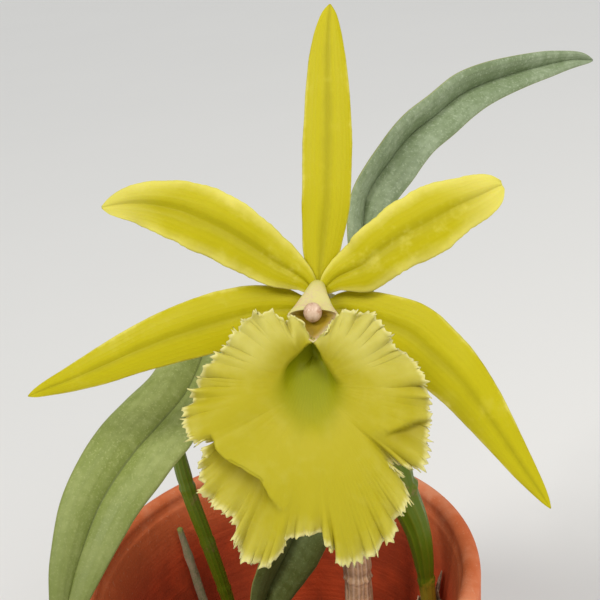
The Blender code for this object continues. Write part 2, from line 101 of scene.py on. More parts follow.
class PlantSettings(bpy.types.PropertyGroup):
    leaf: colour("Leaf", "Main colour of the left leaf", (0.24, 0.29, 0.065))
    leaf_sheen: colour("Leaf sheen", "Pale mottling on the left leaf", (0.44, 0.48, 0.18))
    upper_leaf: colour("Upper leaf", "Main colour of the upper leaf", (0.18, 0.235, 0.115))
    upper_sheen: colour("Upper leaf sheen", "Pale mottling on the upper leaf",
                        (0.42, 0.49, 0.33))
    young_leaf: colour("Young leaf", "Main colour of the young leaf", (0.075, 0.095, 0.018))
    young_sheen: colour("Young leaf sheen", "Pale mottling on the young leaf",
                        (0.16, 0.20, 0.07))
    bulb: colour("Pseudobulb", "Green of the pseudobulbs", (0.105, 0.165, 0.006))
    bulb_pale: colour("Pseudobulb foot", "Yellow-green of the pseudobulbs' feet",
                      (0.30, 0.25, 0.02))
    paper: colour("Papery sheath", "Colour of the dry sheaths", (0.70, 0.48, 0.31))
    old: colour("Old stem", "Colour of the old papery pseudobulb", (0.60, 0.36, 0.19))
    root: colour("Root", "Colour of the roots' dry skin", (0.36, 0.28, 0.18))
    leaf_thickness: length("Leaf thickness", "Thickness of a leaf beside its midrib", 0.0017)


class FlowerSettings(bpy.types.PropertyGroup):
    deep: colour("Deep yellow", "Olive yellow along the midribs", (0.385, 0.335, 0.003))
    yellow: colour("Yellow", "Main yellow of sepals and petals", (0.475, 0.415, 0.004))
    pale: colour("Pale margin", "Pale yellow of the margins", (0.68, 0.61, 0.12))
    throat: colour("Throat", "Olive green of the lip's throat", (0.23, 0.245, 0.001))
    # painted shade: this olive stands in for the shadow in the lip's folds, in the dips of its
    # ruffles and under the lobe that doubles over
    fold: colour("Fold", "Olive shade under the lip's folds", (0.22, 0.17, 0.003))
    lip: colour("Lip", "Yellow of the lip's blade", (0.415, 0.355, 0.014))
    cream: colour("Lip lobes", "Paler yellow of the lip's upper lobes", (0.53, 0.48, 0.11))
    fringe_tips: colour("Fringe tips", "Cream of the fringe's teeth", (0.74, 0.68, 0.30))
    blush: colour("Anther", "Pinkish white of the anther cap", (0.64, 0.45, 0.31))
    fringe: length("Fringe", "Spacing of the fringe's teeth along the lip's margin", 0.00102)


class StageSettings(bpy.types.PropertyGroup):
    floor: colour("Floor", "Colour of the plain floor", (0.80, 0.79, 0.76))
    view_angle: FloatProperty(name="View angle", description="The camera's angle of view",
                              default=math.radians(34.0), subtype='ANGLE', unit='ROTATION')
    look_down: FloatProperty(name="Look down", description="How far the camera looks down",
                             default=math.radians(25.0), subtype='ANGLE', unit='ROTATION')
    tilt: FloatProperty(name="Tilt", description="How far the camera is rolled",
                        default=math.radians(8.0), subtype='ANGLE', unit='ROTATION')


# ---------------------------------------------------------------- mesh helpers

def select(*pieces):
    """Select only these pieces, with the first of them active."""
    bpy.ops.object.select_all(action='DESELECT')
    for piece in pieces:
        piece.select_set(True)
    if pieces:
        bpy.context.view_layer.objects.active = pieces[0]


def read_points(piece):
    flat = np.empty(len(piece.data.vertices) * 3)
    piece.data.vertices.foreach_get("co", flat)
    return flat.reshape(-1, 3)


def write_points(piece, points):
    piece.data.vertices.foreach_set("co", np.ascontiguousarray(points).ravel())
    piece.data.update()


def flower_matrix():
    tilt = Matrix.Rotation(math.radians(90.0 - FLOWER_LOOKS_UP), 4, 'X')
    roll = Matrix.Rotation(math.radians(-FLOWER_ROLL), 4, 'Z')
    return Matrix.Translation(Vector(FLOWER_CENTRE)) @ tilt @ roll


def settle(piece, in_flower=False):
    """Take a piece drawn in millimetres to its place in the frame, with its object at the origin."""
    points = read_points(piece)
    if in_flower:
        turn = np.array(flower_matrix())
        points = points @ turn[:3, :3].T + turn[:3, 3]
    write_points(piece, points * MM + np.array([POT_AXIS[0], POT_AXIS[1], 0.0]))


def grid(name, columns, rows, place):
    """A fine grid laid on a surface: place gives points for shares across and up the grid."""
    select()
    bpy.ops.mesh.primitive_grid_add(x_subdivisions=columns, y_subdivisions=rows, size=1.0)
    piece = bpy.context.active_object
    piece.name = piece.data.name = name
    flat = read_points(piece)
    across, up = flat[:, 0] + 0.5, flat[:, 1] + 0.5
    write_points(piece, place(across, up))
    return piece, across, up


def store(piece, name, values):
    """Keep a share from 0 to 1 at each point of a piece."""
    layer = piece.data.attributes.new(name, 'FLOAT', 'POINT')
    layer.data.foreach_set("value", np.clip(values, 0.0, 1.0).astype(np.float32))


def edit(piece, *steps):
    """Run edit-mode steps on the whole of a piece."""
    select(piece)
    bpy.ops.object.mode_set(mode='EDIT')
    bpy.ops.mesh.select_all(action='SELECT')
    for step in steps:
        step()
    bpy.ops.object.mode_set(mode='OBJECT')


def weld(piece, distance=0.004):
    edit(piece, lambda: bpy.ops.mesh.remove_doubles(threshold=distance),
         lambda: bpy.ops.mesh.normals_make_consistent(inside=False))


def modify(piece, kind, **values):
    """Add a modifier with the given values and apply it."""
    select(piece)
    bpy.ops.object.modifier_add(type=kind)
    modifier = piece.modifiers[-1]
    for key, value in values.items():
        setattr(modifier, key, value)
    bpy.ops.object.modifier_apply(modifier=modifier.name)


def thicken(piece, thickness, share):
    """Give a sheet its thickness, thinned at each point to the given share of it."""
    group = piece.vertex_groups.new(name="thickness")
    levels = np.round(np.clip(share, 0.05, 1.0) * 40).astype(int)
    for level in np.unique(levels):
        group.add([int(i) for i in np.flatnonzero(levels == level)], level / 40.0, 'REPLACE')
    modify(piece, 'SOLIDIFY', thickness=thickness, offset=0.0, vertex_group=group.name)
    piece.vertex_groups.clear()


def finish_piece(piece, material, node, slot, *more_nodes):
    """Dress a finished piece, hang it under the root body and hide the parts of model.glb that it
    stands for.
    """
    select(piece)
    bpy.ops.object.shade_smooth()
    piece.data.materials.clear()
    piece.data.materials.append(material)
    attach(piece, "root")
    if node:
        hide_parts(node, *more_nodes)
    return piece


def smooth_path(points, count):
    """Evenly spaced points on a smooth curve through the given ones."""
    control = np.array(points, dtype=float)
    ends = np.vstack([2 * control[0] - control[1], control, 2 * control[-1] - control[-2]])
    dense = []
    for i in range(1, len(ends) - 2):
        a, b, c, d = ends[i - 1:i + 3]
        for t in np.linspace(0.0, 1.0, 24, endpoint=False):
            dense.append(0.5 * (2 * b + (c - a) * t + (2 * a - 5 * b + 4 * c - d) * t ** 2
                                + (3 * b - a - 3 * c + d) * t ** 3))
    dense = np.array(dense + [control[-1]])
    length_so_far = np.concatenate(
        [[0.0], np.cumsum(np.linalg.norm(np.diff(dense, axis=0), axis=1))])
    wanted = np.linspace(0.0, length_so_far[-1], count)
    return np.column_stack([np.interp(wanted, length_so_far, dense[:, k]) for k in range(3)])


def along(table, t):
    """Values read smoothly from a short table of (position, value) pairs."""
    at = np.array([row[0] for row in table])
    value = np.array([row[1] for row in table], dtype=float)
    fine = np.linspace(at[0], at[-1], FINE)
    drawn = np.interp(fine, at, value)
    kernel = np.hanning(17)
    kernel /= kernel.sum()
    padded = np.concatenate([2 * drawn[0] - drawn[8:0:-1], drawn, 2 * drawn[-1] - drawn[-2:-10:-1]])
    return np.interp(t, fine, np.convolve(padded, kernel, mode='valid'))


def unit(vectors):
    return vectors / np.linalg.norm(vectors, axis=1, keepdims=True)


def path_frames(points, facing):
    """Sideways and facing directions at each point of a path, from one facing per point."""
    tangent = unit(np.gradient(points, axis=0))
    side = unit(np.cross(tangent, facing))
    return side, np.cross(side, tangent)


def wobble(across, up, scale_across, scale_up, seed):
    """Smooth irregular values from -1 to 1 over a sheet."""
    return np.array([noise.noise(Vector((a * scale_across, b * scale_up, seed)))
                     for a, b in zip(across, up)])


# ---------------------------------------------------------------- material helpers

def fill(tree, node, inputs):
    """Fill a node's sockets, each from a value or from another socket."""
    for key, value in inputs.items():
        if isinstance(value, bpy.types.NodeSocket):
            tree.links.new(value, node.inputs[key])
        else:
            node.inputs[key].default_value = value


def put(tree, kind, inputs=None, **settings):
    """Add a node, with its settings and its sockets filled."""
    node = tree.nodes.new(kind)
    for key, value in settings.items():
        setattr(node, key, value)
    fill(tree, node, inputs or {})
    return node


def maths(tree, operation, first, second=0.5, clamp=False):
    node = put(tree, "ShaderNodeMath", {0: first, 1: second}, operation=operation)
    node.use_clamp = clamp
    return node.outputs[0]


def mix(tree, factor, first, second):
    """Mix two colours, given as sockets or as plain colours."""
    node = put(tree, "ShaderNodeMix", {0: factor}, data_type='RGBA')
    for key, value in ((6, first), (7, second)):
        plain_colour = not isinstance(value, bpy.types.NodeSocket)
        fill(tree, node, {key: (*value[:3], 1.0) if plain_colour else value})
    return node.outputs[2]


def spread(tree, value, low, high, to_low=0.0, to_high=1.0):
    """Stretch a value from one range to another, eased at both ends."""
    node = put(tree, "ShaderNodeMapRange", {0: value, 1: low, 2: high, 3: to_low, 4: to_high},
               interpolation_type='SMOOTHSTEP')
    return node.outputs[0]


def new_group(name, inputs, outputs):
    tree = bpy.data.node_groups.new(name, "ShaderNodeTree")
    for label, kind, default in inputs:
        socket = tree.interface.new_socket(label, in_out='INPUT', socket_type=kind)
        if default is not None:
            socket.default_value = default
    for label, kind in outputs:
        tree.interface.new_socket(label, in_out='OUTPUT', socket_type=kind)
    return tree, tree.nodes.new("NodeGroupInput").outputs, tree.nodes.new("NodeGroupOutput").inputs


def grown_mottle():
    """Cloudy variation of living tissue: a large drift with finer grain in it."""
    tree, given, result = new_group(
        "grown_mottle",
        [("Vector", 'NodeSocketVector', None), ("Scale", 'NodeSocketFloat', 60.0),
         ("Grain", 'NodeSocketFloat', 0.5)],
        [("Value", 'NodeSocketFloat')])
    drift = put(tree, "ShaderNodeTexNoise", {"Vector": given["Vector"], "Scale": given["Scale"],
                                             "Detail": 3.0, "Roughness": 0.55})
    fine_scale = maths(tree, 'MULTIPLY', given["Scale"], 7.0)
    fine = put(tree, "ShaderNodeTexNoise", {"Vector": given["Vector"], "Scale": fine_scale,
                                            "Detail": 2.0})
    grain = maths(tree, 'MULTIPLY', maths(tree, 'SUBTRACT', fine.outputs[0], 0.5), given["Grain"])
    total = maths(tree, 'ADD', drift.outputs[0], grain, clamp=True)
    tree.links.new(total, result["Value"])
    return tree


def long_veins():
    """Fine lines that run the length of a blade, read from its own map."""
    tree, given, result = new_group(
        "long_veins",
        [("Vector", 'NodeSocketVector', None), ("Count", 'NodeSocketFloat', 30.0),
         ("Wander", 'NodeSocketFloat', 0.03)],
        [("Value", 'NodeSocketFloat')])
    split = put(tree, "ShaderNodeSeparateXYZ", {0: given["Vector"]})
    drift = put(tree, "ShaderNodeTexNoise", {"Vector": given["Vector"], "Scale": 5.0,
                                             "Detail": 2.0})
    shift = maths(tree, 'MULTIPLY', maths(tree, 'SUBTRACT', drift.outputs[0], 0.5),
                  given["Wander"])
    across = maths(tree, 'ADD', split.outputs[0], shift)
    phase = maths(tree, 'MULTIPLY', maths(tree, 'MULTIPLY', across, given["Count"]), math.tau)
    wave = maths(tree, 'MULTIPLY', maths(tree, 'ADD', maths(tree, 'SINE', phase), 1.0), 0.5)
    tree.links.new(maths(tree, 'POWER', wave, 2.0), result["Value"])
    return tree


def from_midrib():
    """Distance from a blade's midrib, 0 on it and 1 at its margins."""
    tree, given, result = new_group("from_midrib", [("Vector", 'NodeSocketVector', None)],
                                    [("Value", 'NodeSocketFloat')])
    split = put(tree, "ShaderNodeSeparateXYZ", {0: given["Vector"]})
    centred = maths(tree, 'SUBTRACT', maths(tree, 'MULTIPLY', split.outputs[0], 2.0), 1.0)
    tree.links.new(maths(tree, 'ABSOLUTE', centred), result["Value"])
    return tree


def place_group(tree, maker, inputs):
    """Place a shared node group, made the first time that it is asked for."""
    node = put(tree, "ShaderNodeGroup")
    node.node_tree = bpy.data.node_groups.get(maker.__name__) or maker()
    fill(tree, node, inputs)
    return node.outputs[0]


def mottle_of(tree, world, scale, grain):
    return place_group(tree, grown_mottle, {"Vector": world, "Scale": scale, "Grain": grain})


def veins_of(tree, own, count, wander):
    return place_group(tree, long_veins, {"Vector": own, "Count": count, "Wander": wander})


def height_share(tree, own):
    """How far up a piece's own map, from 0 at its foot to 1 at its end."""
    return put(tree, "ShaderNodeSeparateXYZ", {0: own}).outputs[1]


def darker(share, tint):
    return tuple(share * part for part in tint)


def new_material(name, roughness=0.5, **sockets):
    """A material with its shader, and the sockets of its own map and its object's space."""
    material = bpy.data.materials.new(name)
    material.use_nodes = True
    tree = material.node_tree
    shader = tree.nodes["Principled BSDF"]
    shader.inputs["Roughness"].default_value = roughness
    for key, value in sockets.items():
        shader.inputs[key.replace("_", " ")].default_value = value
    where = put(tree, "ShaderNodeTexCoord")
    return material, tree, shader, where.outputs["UV"], where.outputs["Object"]


def bump(tree, shader, height, strength, distance):
    node = put(tree, "ShaderNodeBump", {"Height": height, "Strength": strength,
                                        "Distance": distance})
    tree.links.new(node.outputs[0], shader.inputs["Normal"])


# ---------------------------------------------------------------- materials

def blade_material(name, deep, main, pale, rim=0.80, channel=0.35, tip=1.2, clouds=0.12):
    """A sepal or petal: olive along the midrib, yellow over the blade, pale at the margin."""
    material, tree, shader, own, world = new_material(
        name, 0.46, Subsurface_Weight=0.18, Subsurface_Radius=(0.004, 0.003, 0.0006),
        Subsurface_Scale=0.5, Specular_IOR_Level=0.14)
    away = place_group(tree, from_midrib, {"Vector": own})
    mottle = mottle_of(tree, world, 70.0, 0.4)
    veins = veins_of(tree, own, 12.0, 0.09)
    drifted = maths(tree, 'ADD', away, maths(tree, 'MULTIPLY', maths(
        tree, 'SUBTRACT', mottle, 0.5), 0.35))
    body = mix(tree, spread(tree, drifted, 0.0, channel), deep, main)
    streaked = mix(tree, maths(tree, 'MULTIPLY', veins, 0.07), body, deep)
    edged = mix(tree, spread(tree, drifted, rim, 1.08), streaked, pale)
    clouded = mix(tree, spread(tree, mottle, 0.55, 0.8, 0.0, clouds), edged, pale)
    reach = maths(tree, 'ADD', height_share(tree, own), maths(tree, 'MULTIPLY', away, 0.12))
    tipped = mix(tree, spread(tree, reach, tip, tip + 0.3, 0.0, 0.8), clouded, pale)
    tree.links.new(tipped, shader.inputs["Base Color"])
    height = maths(tree, 'ADD', maths(tree, 'MULTIPLY', veins, 0.2), mottle)
    bump(tree, shader, height, 0.3, 0.0004)
    return material


def stored(tree, name):
    return put(tree, "ShaderNodeAttribute", attribute_name=name).outputs["Fac"]


def lip_material(look):
    """The lip: green throat, golden blade, paler lobes and a cream fringe."""
    material, tree, shader, own, world = new_material(
        "lip_tissue", 0.5, Subsurface_Weight=0.12, Subsurface_Radius=(0.004, 0.003, 0.0006),
        Subsurface_Scale=0.5, Specular_IOR_Level=0.14)
    mottle = mottle_of(tree, world, 55.0, 0.45)
    veins = veins_of(tree, own, 46.0, 0.05)
    drift = maths(tree, 'MULTIPLY', maths(tree, 'SUBTRACT', mottle, 0.5), 0.7)
    pale = maths(tree, 'ADD', stored(tree, "pale"), drift, clamp=True)
    blade = mix(tree, pale, look.lip, look.cream)
    veined = mix(tree, maths(tree, 'MULTIPLY', veins, 0.05), blade, look.lip)
    shaded = mix(tree, maths(tree, 'MULTIPLY', stored(tree, "shade"), 0.8), veined, look.fold)
    fringed = mix(tree, maths(tree, 'MULTIPLY', stored(tree, "fringe"), 0.8), shaded,
                  look.fringe_tips)
    green = mix(tree, maths(tree, 'MULTIPLY', veins, 0.1), look.throat, look.deep)
    tree.links.new(mix(tree, stored(tree, "throat"), fringed, green), shader.inputs["Base Color"])
    fine = maths(tree, 'ADD', maths(tree, 'MULTIPLY', veins, 0.1), mottle)
    bump(tree, shader, fine, 0.35, 0.0004)
    return material


def leaf_material(name, main, sheen, end_shade=0.0):
    """A leathery leaf: finely mottled green with faint long veins, painted shade along its crease
    and, by end_shade, towards its end.
    """
    material, tree, shader, own, world = new_material(name, 0.55, Specular_IOR_Level=0.3)
    away = place_group(tree, from_midrib, {"Vector": own})
    broad = mottle_of(tree, world, 55.0, 0.7)
    pores = put(tree, "ShaderNodeTexNoise", {"Vector": world, "Scale": 1300.0, "Detail": 2.0})
    veins = veins_of(tree, own, 9.0, 0.08)
    dark = darker(0.5, main)
    base = mix(tree, spread(tree, broad, 0.25, 0.85, 0.0, 0.55), main, sheen)
    spotted = mix(tree, spread(tree, pores.outputs[0], 0.54, 0.70, 0.0, 0.5), base, sheen)
    lined = mix(tree, maths(tree, 'MULTIPLY', veins, 0.10), spotted, dark)
    # painted shade: darker along the midrib's crease, where shadow falls in the channel
    crease_shade = mix(tree, spread(tree, away, 0.0, 0.09, 0.85, 0.0), lined, dark)
    edged = mix(tree, spread(tree, away, 0.955, 1.0, 0.0, 0.6), crease_shade, (0.34, 0.36, 0.10))
    # painted shade: darker towards the leaf's end, as far as end_shade asks
    end_painted_shade = mix(tree, spread(tree, height_share(tree, own), 0.5, 1.0, 0.0, end_shade), edged, dark)
    tree.links.new(end_painted_shade, shader.inputs["Base Color"])
    tree.links.new(spread(tree, broad, 0.3, 0.8, 0.48, 0.64), shader.inputs["Roughness"])
    relief = maths(tree, 'ADD', maths(tree, 'MULTIPLY', pores.outputs[0], 0.6),
                   maths(tree, 'MULTIPLY', veins, 0.4))
    bump(tree, shader, relief, 0.45, 0.0003)
    return material


def bulb_material(look, name, low, high):
    """A pseudobulb: ribbed green skin, yellow-green and scurfy towards its foot."""
    material, tree, shader, own, world = new_material(name, 0.42, Specular_IOR_Level=0.25)
    mottle = mottle_of(tree, world, 90.0, 0.5)
    ribs = veins_of(tree, own, 11.0, 0.02)
    rise = maths(tree, 'ADD', height_share(tree, own), maths(tree, 'MULTIPLY', mottle, 0.08))
    skin = mix(tree, spread(tree, rise, low, high), look.bulb_pale, look.bulb)
    ribbed = mix(tree, maths(tree, 'MULTIPLY', ribs, 0.16), skin, look.bulb_pale)
    scurf = mix(tree, spread(tree, mottle, 0.6, 0.8, 0.0, 0.5), ribbed, (0.28, 0.17, 0.07))
    tree.links.new(scurf, shader.inputs["Base Color"])
    tree.links.new(spread(tree, mottle, 0.3, 0.8, 0.3, 0.6), shader.inputs["Roughness"])
    bump(tree, shader, maths(tree, 'ADD', ribs, mottle), 0.5, 0.0004)
    return material


def paper_material(name, main, dark, light):
    """A dry papery skin: long fibres, stains and pale worn ridges."""
    material, tree, shader, own, world = new_material(name, 0.8)
    fibres = veins_of(tree, own, 17.0, 0.08)
    stains = mottle_of(tree, world, 120.0, 0.8)
    base = mix(tree, spread(tree, stains, 0.3, 0.7), dark, main)
    fibred = mix(tree, maths(tree, 'MULTIPLY', fibres, 0.55), base, light)
    tree.links.new(fibred, shader.inputs["Base Color"])
    bump(tree, shader, maths(tree, 'ADD', fibres, stains), 0.7, 0.0004)
    return material


def root_material(look):
    """Velamen: chalky grey skin with green showing where it is thin."""
    material, tree, shader, own, world = new_material("root_velamen", 0.85)
    mottle = mottle_of(tree, world, 160.0, 0.7)
    chalk = mix(tree, spread(tree, mottle, 0.35, 0.7), (0.23, 0.24, 0.12), look.root)
    tip = mix(tree, spread(tree, height_share(tree, own), 0.93, 0.99), chalk, (0.25, 0.30, 0.06))
    tree.links.new(tip, shader.inputs["Base Color"])
    bump(tree, shader, mottle, 0.6, 0.0005)
    return material


def terracotta_material(look):
    """Clay: orange and chalky outside, darkened inside by painted shade that deepens below the rim,
    with pores and turning lines.
    """
    material, tree, shader, _, world = new_material("terracotta_clay", 0.8)
    centred = put(tree, "ShaderNodeMapping", {"Vector": world, "Location": (
        -POT_AXIS[0], -POT_AXIS[1], 0.0)}).outputs[0]
    split = put(tree, "ShaderNodeSeparateXYZ", {0: centred})
    flat = put(tree, "ShaderNodeCombineXYZ", {0: split.outputs[0], 1: split.outputs[1]})
    radius = put(tree, "ShaderNodeVectorMath", {0: flat.outputs[0]},
                 operation='LENGTH').outputs["Value"]
    height = split.outputs[2]
    foot = look.foot_radius - look.wall / 2
    slope = ((POT_RADIUS - 1.0) * MM - look.wall / 2 - foot) / (POT_TOP * MM)
    middle = maths(tree, 'MULTIPLY_ADD', height, slope)
    middle.node.inputs[2].default_value = foot
    inside = spread(tree, maths(tree, 'SUBTRACT', middle, radius), -0.0006, 0.00102)
    # painted shade: the inside of the pot is darkened, more so further below the rim
    below_rim = spread(tree, height, (POT_TOP - 34.0) * MM, (POT_TOP - 5.0) * MM, 1.0, 0.0)
    painted_shade_inside = maths(tree, 'MULTIPLY', inside, below_rim)
    cloud = mottle_of(tree, world, 22.0, 0.35)
    grain = put(tree, "ShaderNodeTexNoise", {"Vector": world, "Scale": 900.0, "Detail": 3.0})
    turning = put(tree, "ShaderNodeTexNoise", {"Vector": put(
        tree, "ShaderNodeMapping", {"Vector": world, "Scale": (3.0, 3.0, 420.0)}).outputs[0],
        "Scale": 1.0, "Detail": 2.0})
    red = mix(tree, spread(tree, cloud, 0.3, 0.75), darker(0.78, look.clay), look.clay)
    worn = spread(tree, height, (POT_TOP - 14.0) * MM, POT_TOP * MM, 0.10, 0.50)
    chalk = maths(tree, 'MULTIPLY', spread(tree, cloud, 0.42, 0.78), worn)
    outside = mix(tree, chalk, red, look.bloom)
    speckled = mix(tree, spread(tree, grain.outputs[0], 0.60, 0.74, 0.0, 0.35), outside,
                   look.bloom)
    shaded_clay = mix(tree, spread(tree, cloud, 0.35, 0.7), darker(0.6, look.damp), look.damp)
    tree.links.new(mix(tree, painted_shade_inside, speckled, shaded_clay), shader.inputs["Base Color"])
    relief = maths(tree, 'ADD', maths(tree, 'MULTIPLY', grain.outputs[0], 0.5),
                   turning.outputs[0])
    bump(tree, shader, relief, 0.5, 0.0006)
    return material


def bark_material(look):
    """Conifer bark: red-brown with dark cracks and grey weathering."""
    material, tree, shader, _, world = new_material("potting_bark_chips", 0.9)
    cloud = mottle_of(tree, world, 60.0, 0.9)
    streaks = put(tree, "ShaderNodeTexNoise", {"Vector": put(
        tree, "ShaderNodeMapping", {"Vector": world, "Scale": (500.0, 130.0, 500.0)}).outputs[0],
        "Scale": 1.0, "Detail": 4.0})
    brown = mix(tree, spread(tree, cloud, 0.3, 0.7), darker(0.4, look.bark), look.bark)
    grey = mix(tree, spread(tree, streaks.outputs[0], 0.5, 0.75, 0.0, 0.6), brown,
               (0.25, 0.17, 0.11))
    tree.links.new(grey, shader.inputs["Base Color"])
    bump(tree, shader, maths(tree, 'ADD', cloud, streaks.outputs[0]), 0.9, 0.00102)
    return material


def column_material(look):
    """The column: cream, pinkish near its tip, olive in the hollow below the anther."""
    material, tree, shader, own, world = new_material(
        "column_tissue", 0.4, Subsurface_Weight=0.15,
        Subsurface_Radius=(0.003, 0.002, 0.001), Subsurface_Scale=0.5)
    mottle = mottle_of(tree, world, 160.0, 0.6)
    reach = height_share(tree, own)
    base = mix(tree, spread(tree, reach, 0.02, 0.32), (0.48, 0.48, 0.03), (0.68, 0.61, 0.24))
    pinkness = maths(tree, 'MULTIPLY', spread(tree, reach, 0.30, 0.62),
                     spread(tree, mottle, 0.35, 0.7))
    blush = mix(tree, pinkness, base, look.blush)
    hollow = mix(tree, spread(tree, reach, 0.77, 0.84), blush, (0.34, 0.23, 0.01))
    tree.links.new(hollow, shader.inputs["Base Color"])
    bump(tree, shader, mottle, 0.4, 0.0003)
    return material


def anther_material(look):
    material, tree, shader, _, world = new_material("anther_skin", 0.35, Coat_Weight=0.2)
    mottle = mottle_of(tree, world, 300.0, 0.6)
    tint = mix(tree, spread(tree, mottle, 0.4, 0.7), look.blush, (0.46, 0.25, 0.15))
    tree.links.new(tint, shader.inputs["Base Color"])
    bump(tree, shader, mottle, 0.4, 0.0003)
    return material


def floor_material(look):
    material, tree, shader, _, world = new_material("plain_floor", 0.7)
    mottle = mottle_of(tree, world, 3.0, 0.1)
    tint = mix(tree, mottle, darker(0.97, look.floor), look.floor)
    tree.links.new(tint, shader.inputs["Base Color"])
    return material


# ---------------------------------------------------------------- pot and bark

POT_FLOOR = 8.0
DRAIN_RADIUS = 7.5
INNER_STEP = 8.0
BARK_TOP = 70.0


def arc(centre, radius, start, end, count):
    """Points of a circular arc in the (radius, height) plane, angles in degrees."""
    angles = np.radians(np.linspace(start, end, count))
    return [(centre[0] + radius * math.cos(a), centre[1] + radius * math.sin(a)) for a in angles]


def runs(first, last, count):
    """Points along a straight stretch of a profile, without its two ends."""
    shares = np.linspace(0.0, 1.0, count + 2)[1:-1]
    return [tuple(np.array(first) + (np.array(last) - np.array(first)) * s) for s in shares]


def pot_inner_radius(height, look):
    foot = (look.foot_radius - look.wall) / MM + 1.7
    top = POT_RADIUS - look.wall / MM - 1.3
    return foot + (top - foot) * (height - POT_FLOOR) / (POT_TOP - INNER_STEP - POT_FLOOR)


def pot_profile(look):
    """The pot's closed profile, down its outer side, across the foot and up inside."""
    wall, foot, collar = look.wall / MM, look.foot_radius / MM, look.collar / MM
    lip = wall / 2
    rim = (POT_RADIUS - lip, POT_TOP - lip)
    collar_foot = POT_TOP - collar
    profile = arc(rim, lip, 90, 0, 10)
    profile += runs((POT_RADIUS, POT_TOP - lip), (POT_RADIUS - 1.2, collar_foot + 1.5), 6)
    profile += arc((POT_RADIUS - 2.6, collar_foot + 1.4), 1.4, 0, -80, 5)
    ledge = (POT_RADIUS - 5.8, collar_foot - 1.5)
    profile += [(POT_RADIUS - 4.6, collar_foot - 0.3), ledge]
    profile += runs(ledge, (foot + 1.0, 1.8), 20)
    profile += arc((foot - 0.6, 1.6), 1.6, 0, -90, 5)
    profile += runs((foot - 0.6, 0.0), (DRAIN_RADIUS + 0.8, 0.0), 4)
    profile += [(DRAIN_RADIUS + 0.6, 0.0), (DRAIN_RADIUS, 0.6), (DRAIN_RADIUS, POT_FLOOR - 0.6),
                (DRAIN_RADIUS + 0.6, POT_FLOOR)]
    inner_foot = pot_inner_radius(POT_FLOOR, look)
    profile += runs((DRAIN_RADIUS + 0.6, POT_FLOOR), (inner_foot - 4.0, POT_FLOOR), 4)
    profile += arc((inner_foot - 4.0, POT_FLOOR + 4.0), 4.0, -90, -10, 6)
    step = POT_TOP - INNER_STEP
    inner_step = (pot_inner_radius(step, look), step)
    profile += runs((inner_foot, POT_FLOOR + 5.0), inner_step, 22)
    profile += [inner_step, (inner_step[0] + 0.3, step + 0.8), (inner_step[0] + 1.0, step + 1.3)]
    profile += arc(rim, lip, 180, 98, 9)
    return profile


def build_pot(look):
    """Spin the profile round the pot's axis, then give the clay its slight unevenness."""
    profile = pot_profile(look)
    select()
    bpy.ops.mesh.primitive_circle_add(vertices=len(profile), radius=1.0)
    pot = bpy.context.active_object
    pot.name = pot.data.name = "terracotta_pot"
    write_points(pot, np.array([(r, 0.0, z) for r, z in profile]))
    edit(pot, lambda: bpy.ops.mesh.spin(steps=160, angle=math.tau, center=(0, 0, 0),
                                        axis=(0, 0, 1)))
    weld(pot, 0.02)
    points = read_points(pot)
    lift = np.clip(points[:, 2] / 20.0, 0.0, 1.0) * np.clip((POT_TOP - points[:, 2]) / 8, 0, 1)
    wander = np.array([noise.noise(Vector(p) / 34.0) for p in points])
    out = unit(points * np.array([1.0, 1.0, 0.0]) + 1e-9)
    write_points(pot, points + out * (0.35 * wander * lift)[:, None])
    settle(pot)
    finish_piece(pot, terracotta_material(look), "pot", "terracotta")


def chip_shape(kind):
    """One chip of bark: a bevelled slab with a broken outline, drawn 1 across."""
    select()
    bpy.ops.mesh.primitive_cylinder_add(vertices=7, radius=0.5, depth=0.28)
    chip = bpy.context.active_object
    points = read_points(chip)
    for i, point in enumerate(points):
        turn = math.atan2(point[1], point[0])
        reach = 1.0 + 0.32 * noise.noise(Vector((2 * math.cos(turn), 2 * math.sin(turn), kind * 7)))
        points[i] = (point[0] * reach * (1.0 + 0.25 * (kind % 3)), point[1] * reach * 0.72,
                     point[2] + 0.05 * noise.noise(Vector((point[0] * 3, point[1] * 3, kind))))
    write_points(chip, points)
    modify(chip, 'BEVEL', width=0.045, segments=1, limit_method='ANGLE')
    shape = chip.data
    bpy.data.objects.remove(chip)
    return shape


def build_chips(look):
    """Scatter chips over the bark, flat and overlapping, and join them into one piece."""
    shapes = [chip_shape(kind) for kind in range(5)]
    rng = np.random.default_rng(7)
    reach = pot_inner_radius(BARK_TOP, look) - 7.0
    golden = math.pi * (3.0 - math.sqrt(5.0))
    chips = []
    for i in range(look.chips):
        r = reach * math.sqrt((i + 0.5) / look.chips)
        turn = i * golden
        size = rng.uniform(7.0, 13.0)
        chip = bpy.data.objects.new(f"chip_{i}", shapes[i % 5].copy())
        bpy.context.scene.collection.objects.link(chip)
        pose = Matrix.Translation((r * math.cos(turn) + rng.uniform(-2, 2),
                                   r * math.sin(turn) + rng.uniform(-2, 2),
                                   BARK_TOP - 1.0 + rng.uniform(-1.6, 1.6)))
        pose @= Matrix.Rotation(rng.uniform(0, math.tau), 4, 'Z')
        pose @= Matrix.Rotation(rng.normal(0, 0.30), 4, 'X')
        pose @= Matrix.Rotation(rng.normal(0, 0.30), 4, 'Y')
        chip.data.transform(pose @ Matrix.Scale(size, 4))
        chips.append(chip)
    select(*chips)
    bpy.ops.object.join()
    pile = chips[0]
    pile.name = pile.data.name = "bark_chips"
    settle(pile)
    material = bark_material(look)
    finish_piece(pile, material, None, "bark")
    bpy.ops.object.shade_flat()
    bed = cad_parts["potting_bark"].data.materials
    bed.clear()
    bed.append(material)


# ---------------------------------------------------------------- stems and roots

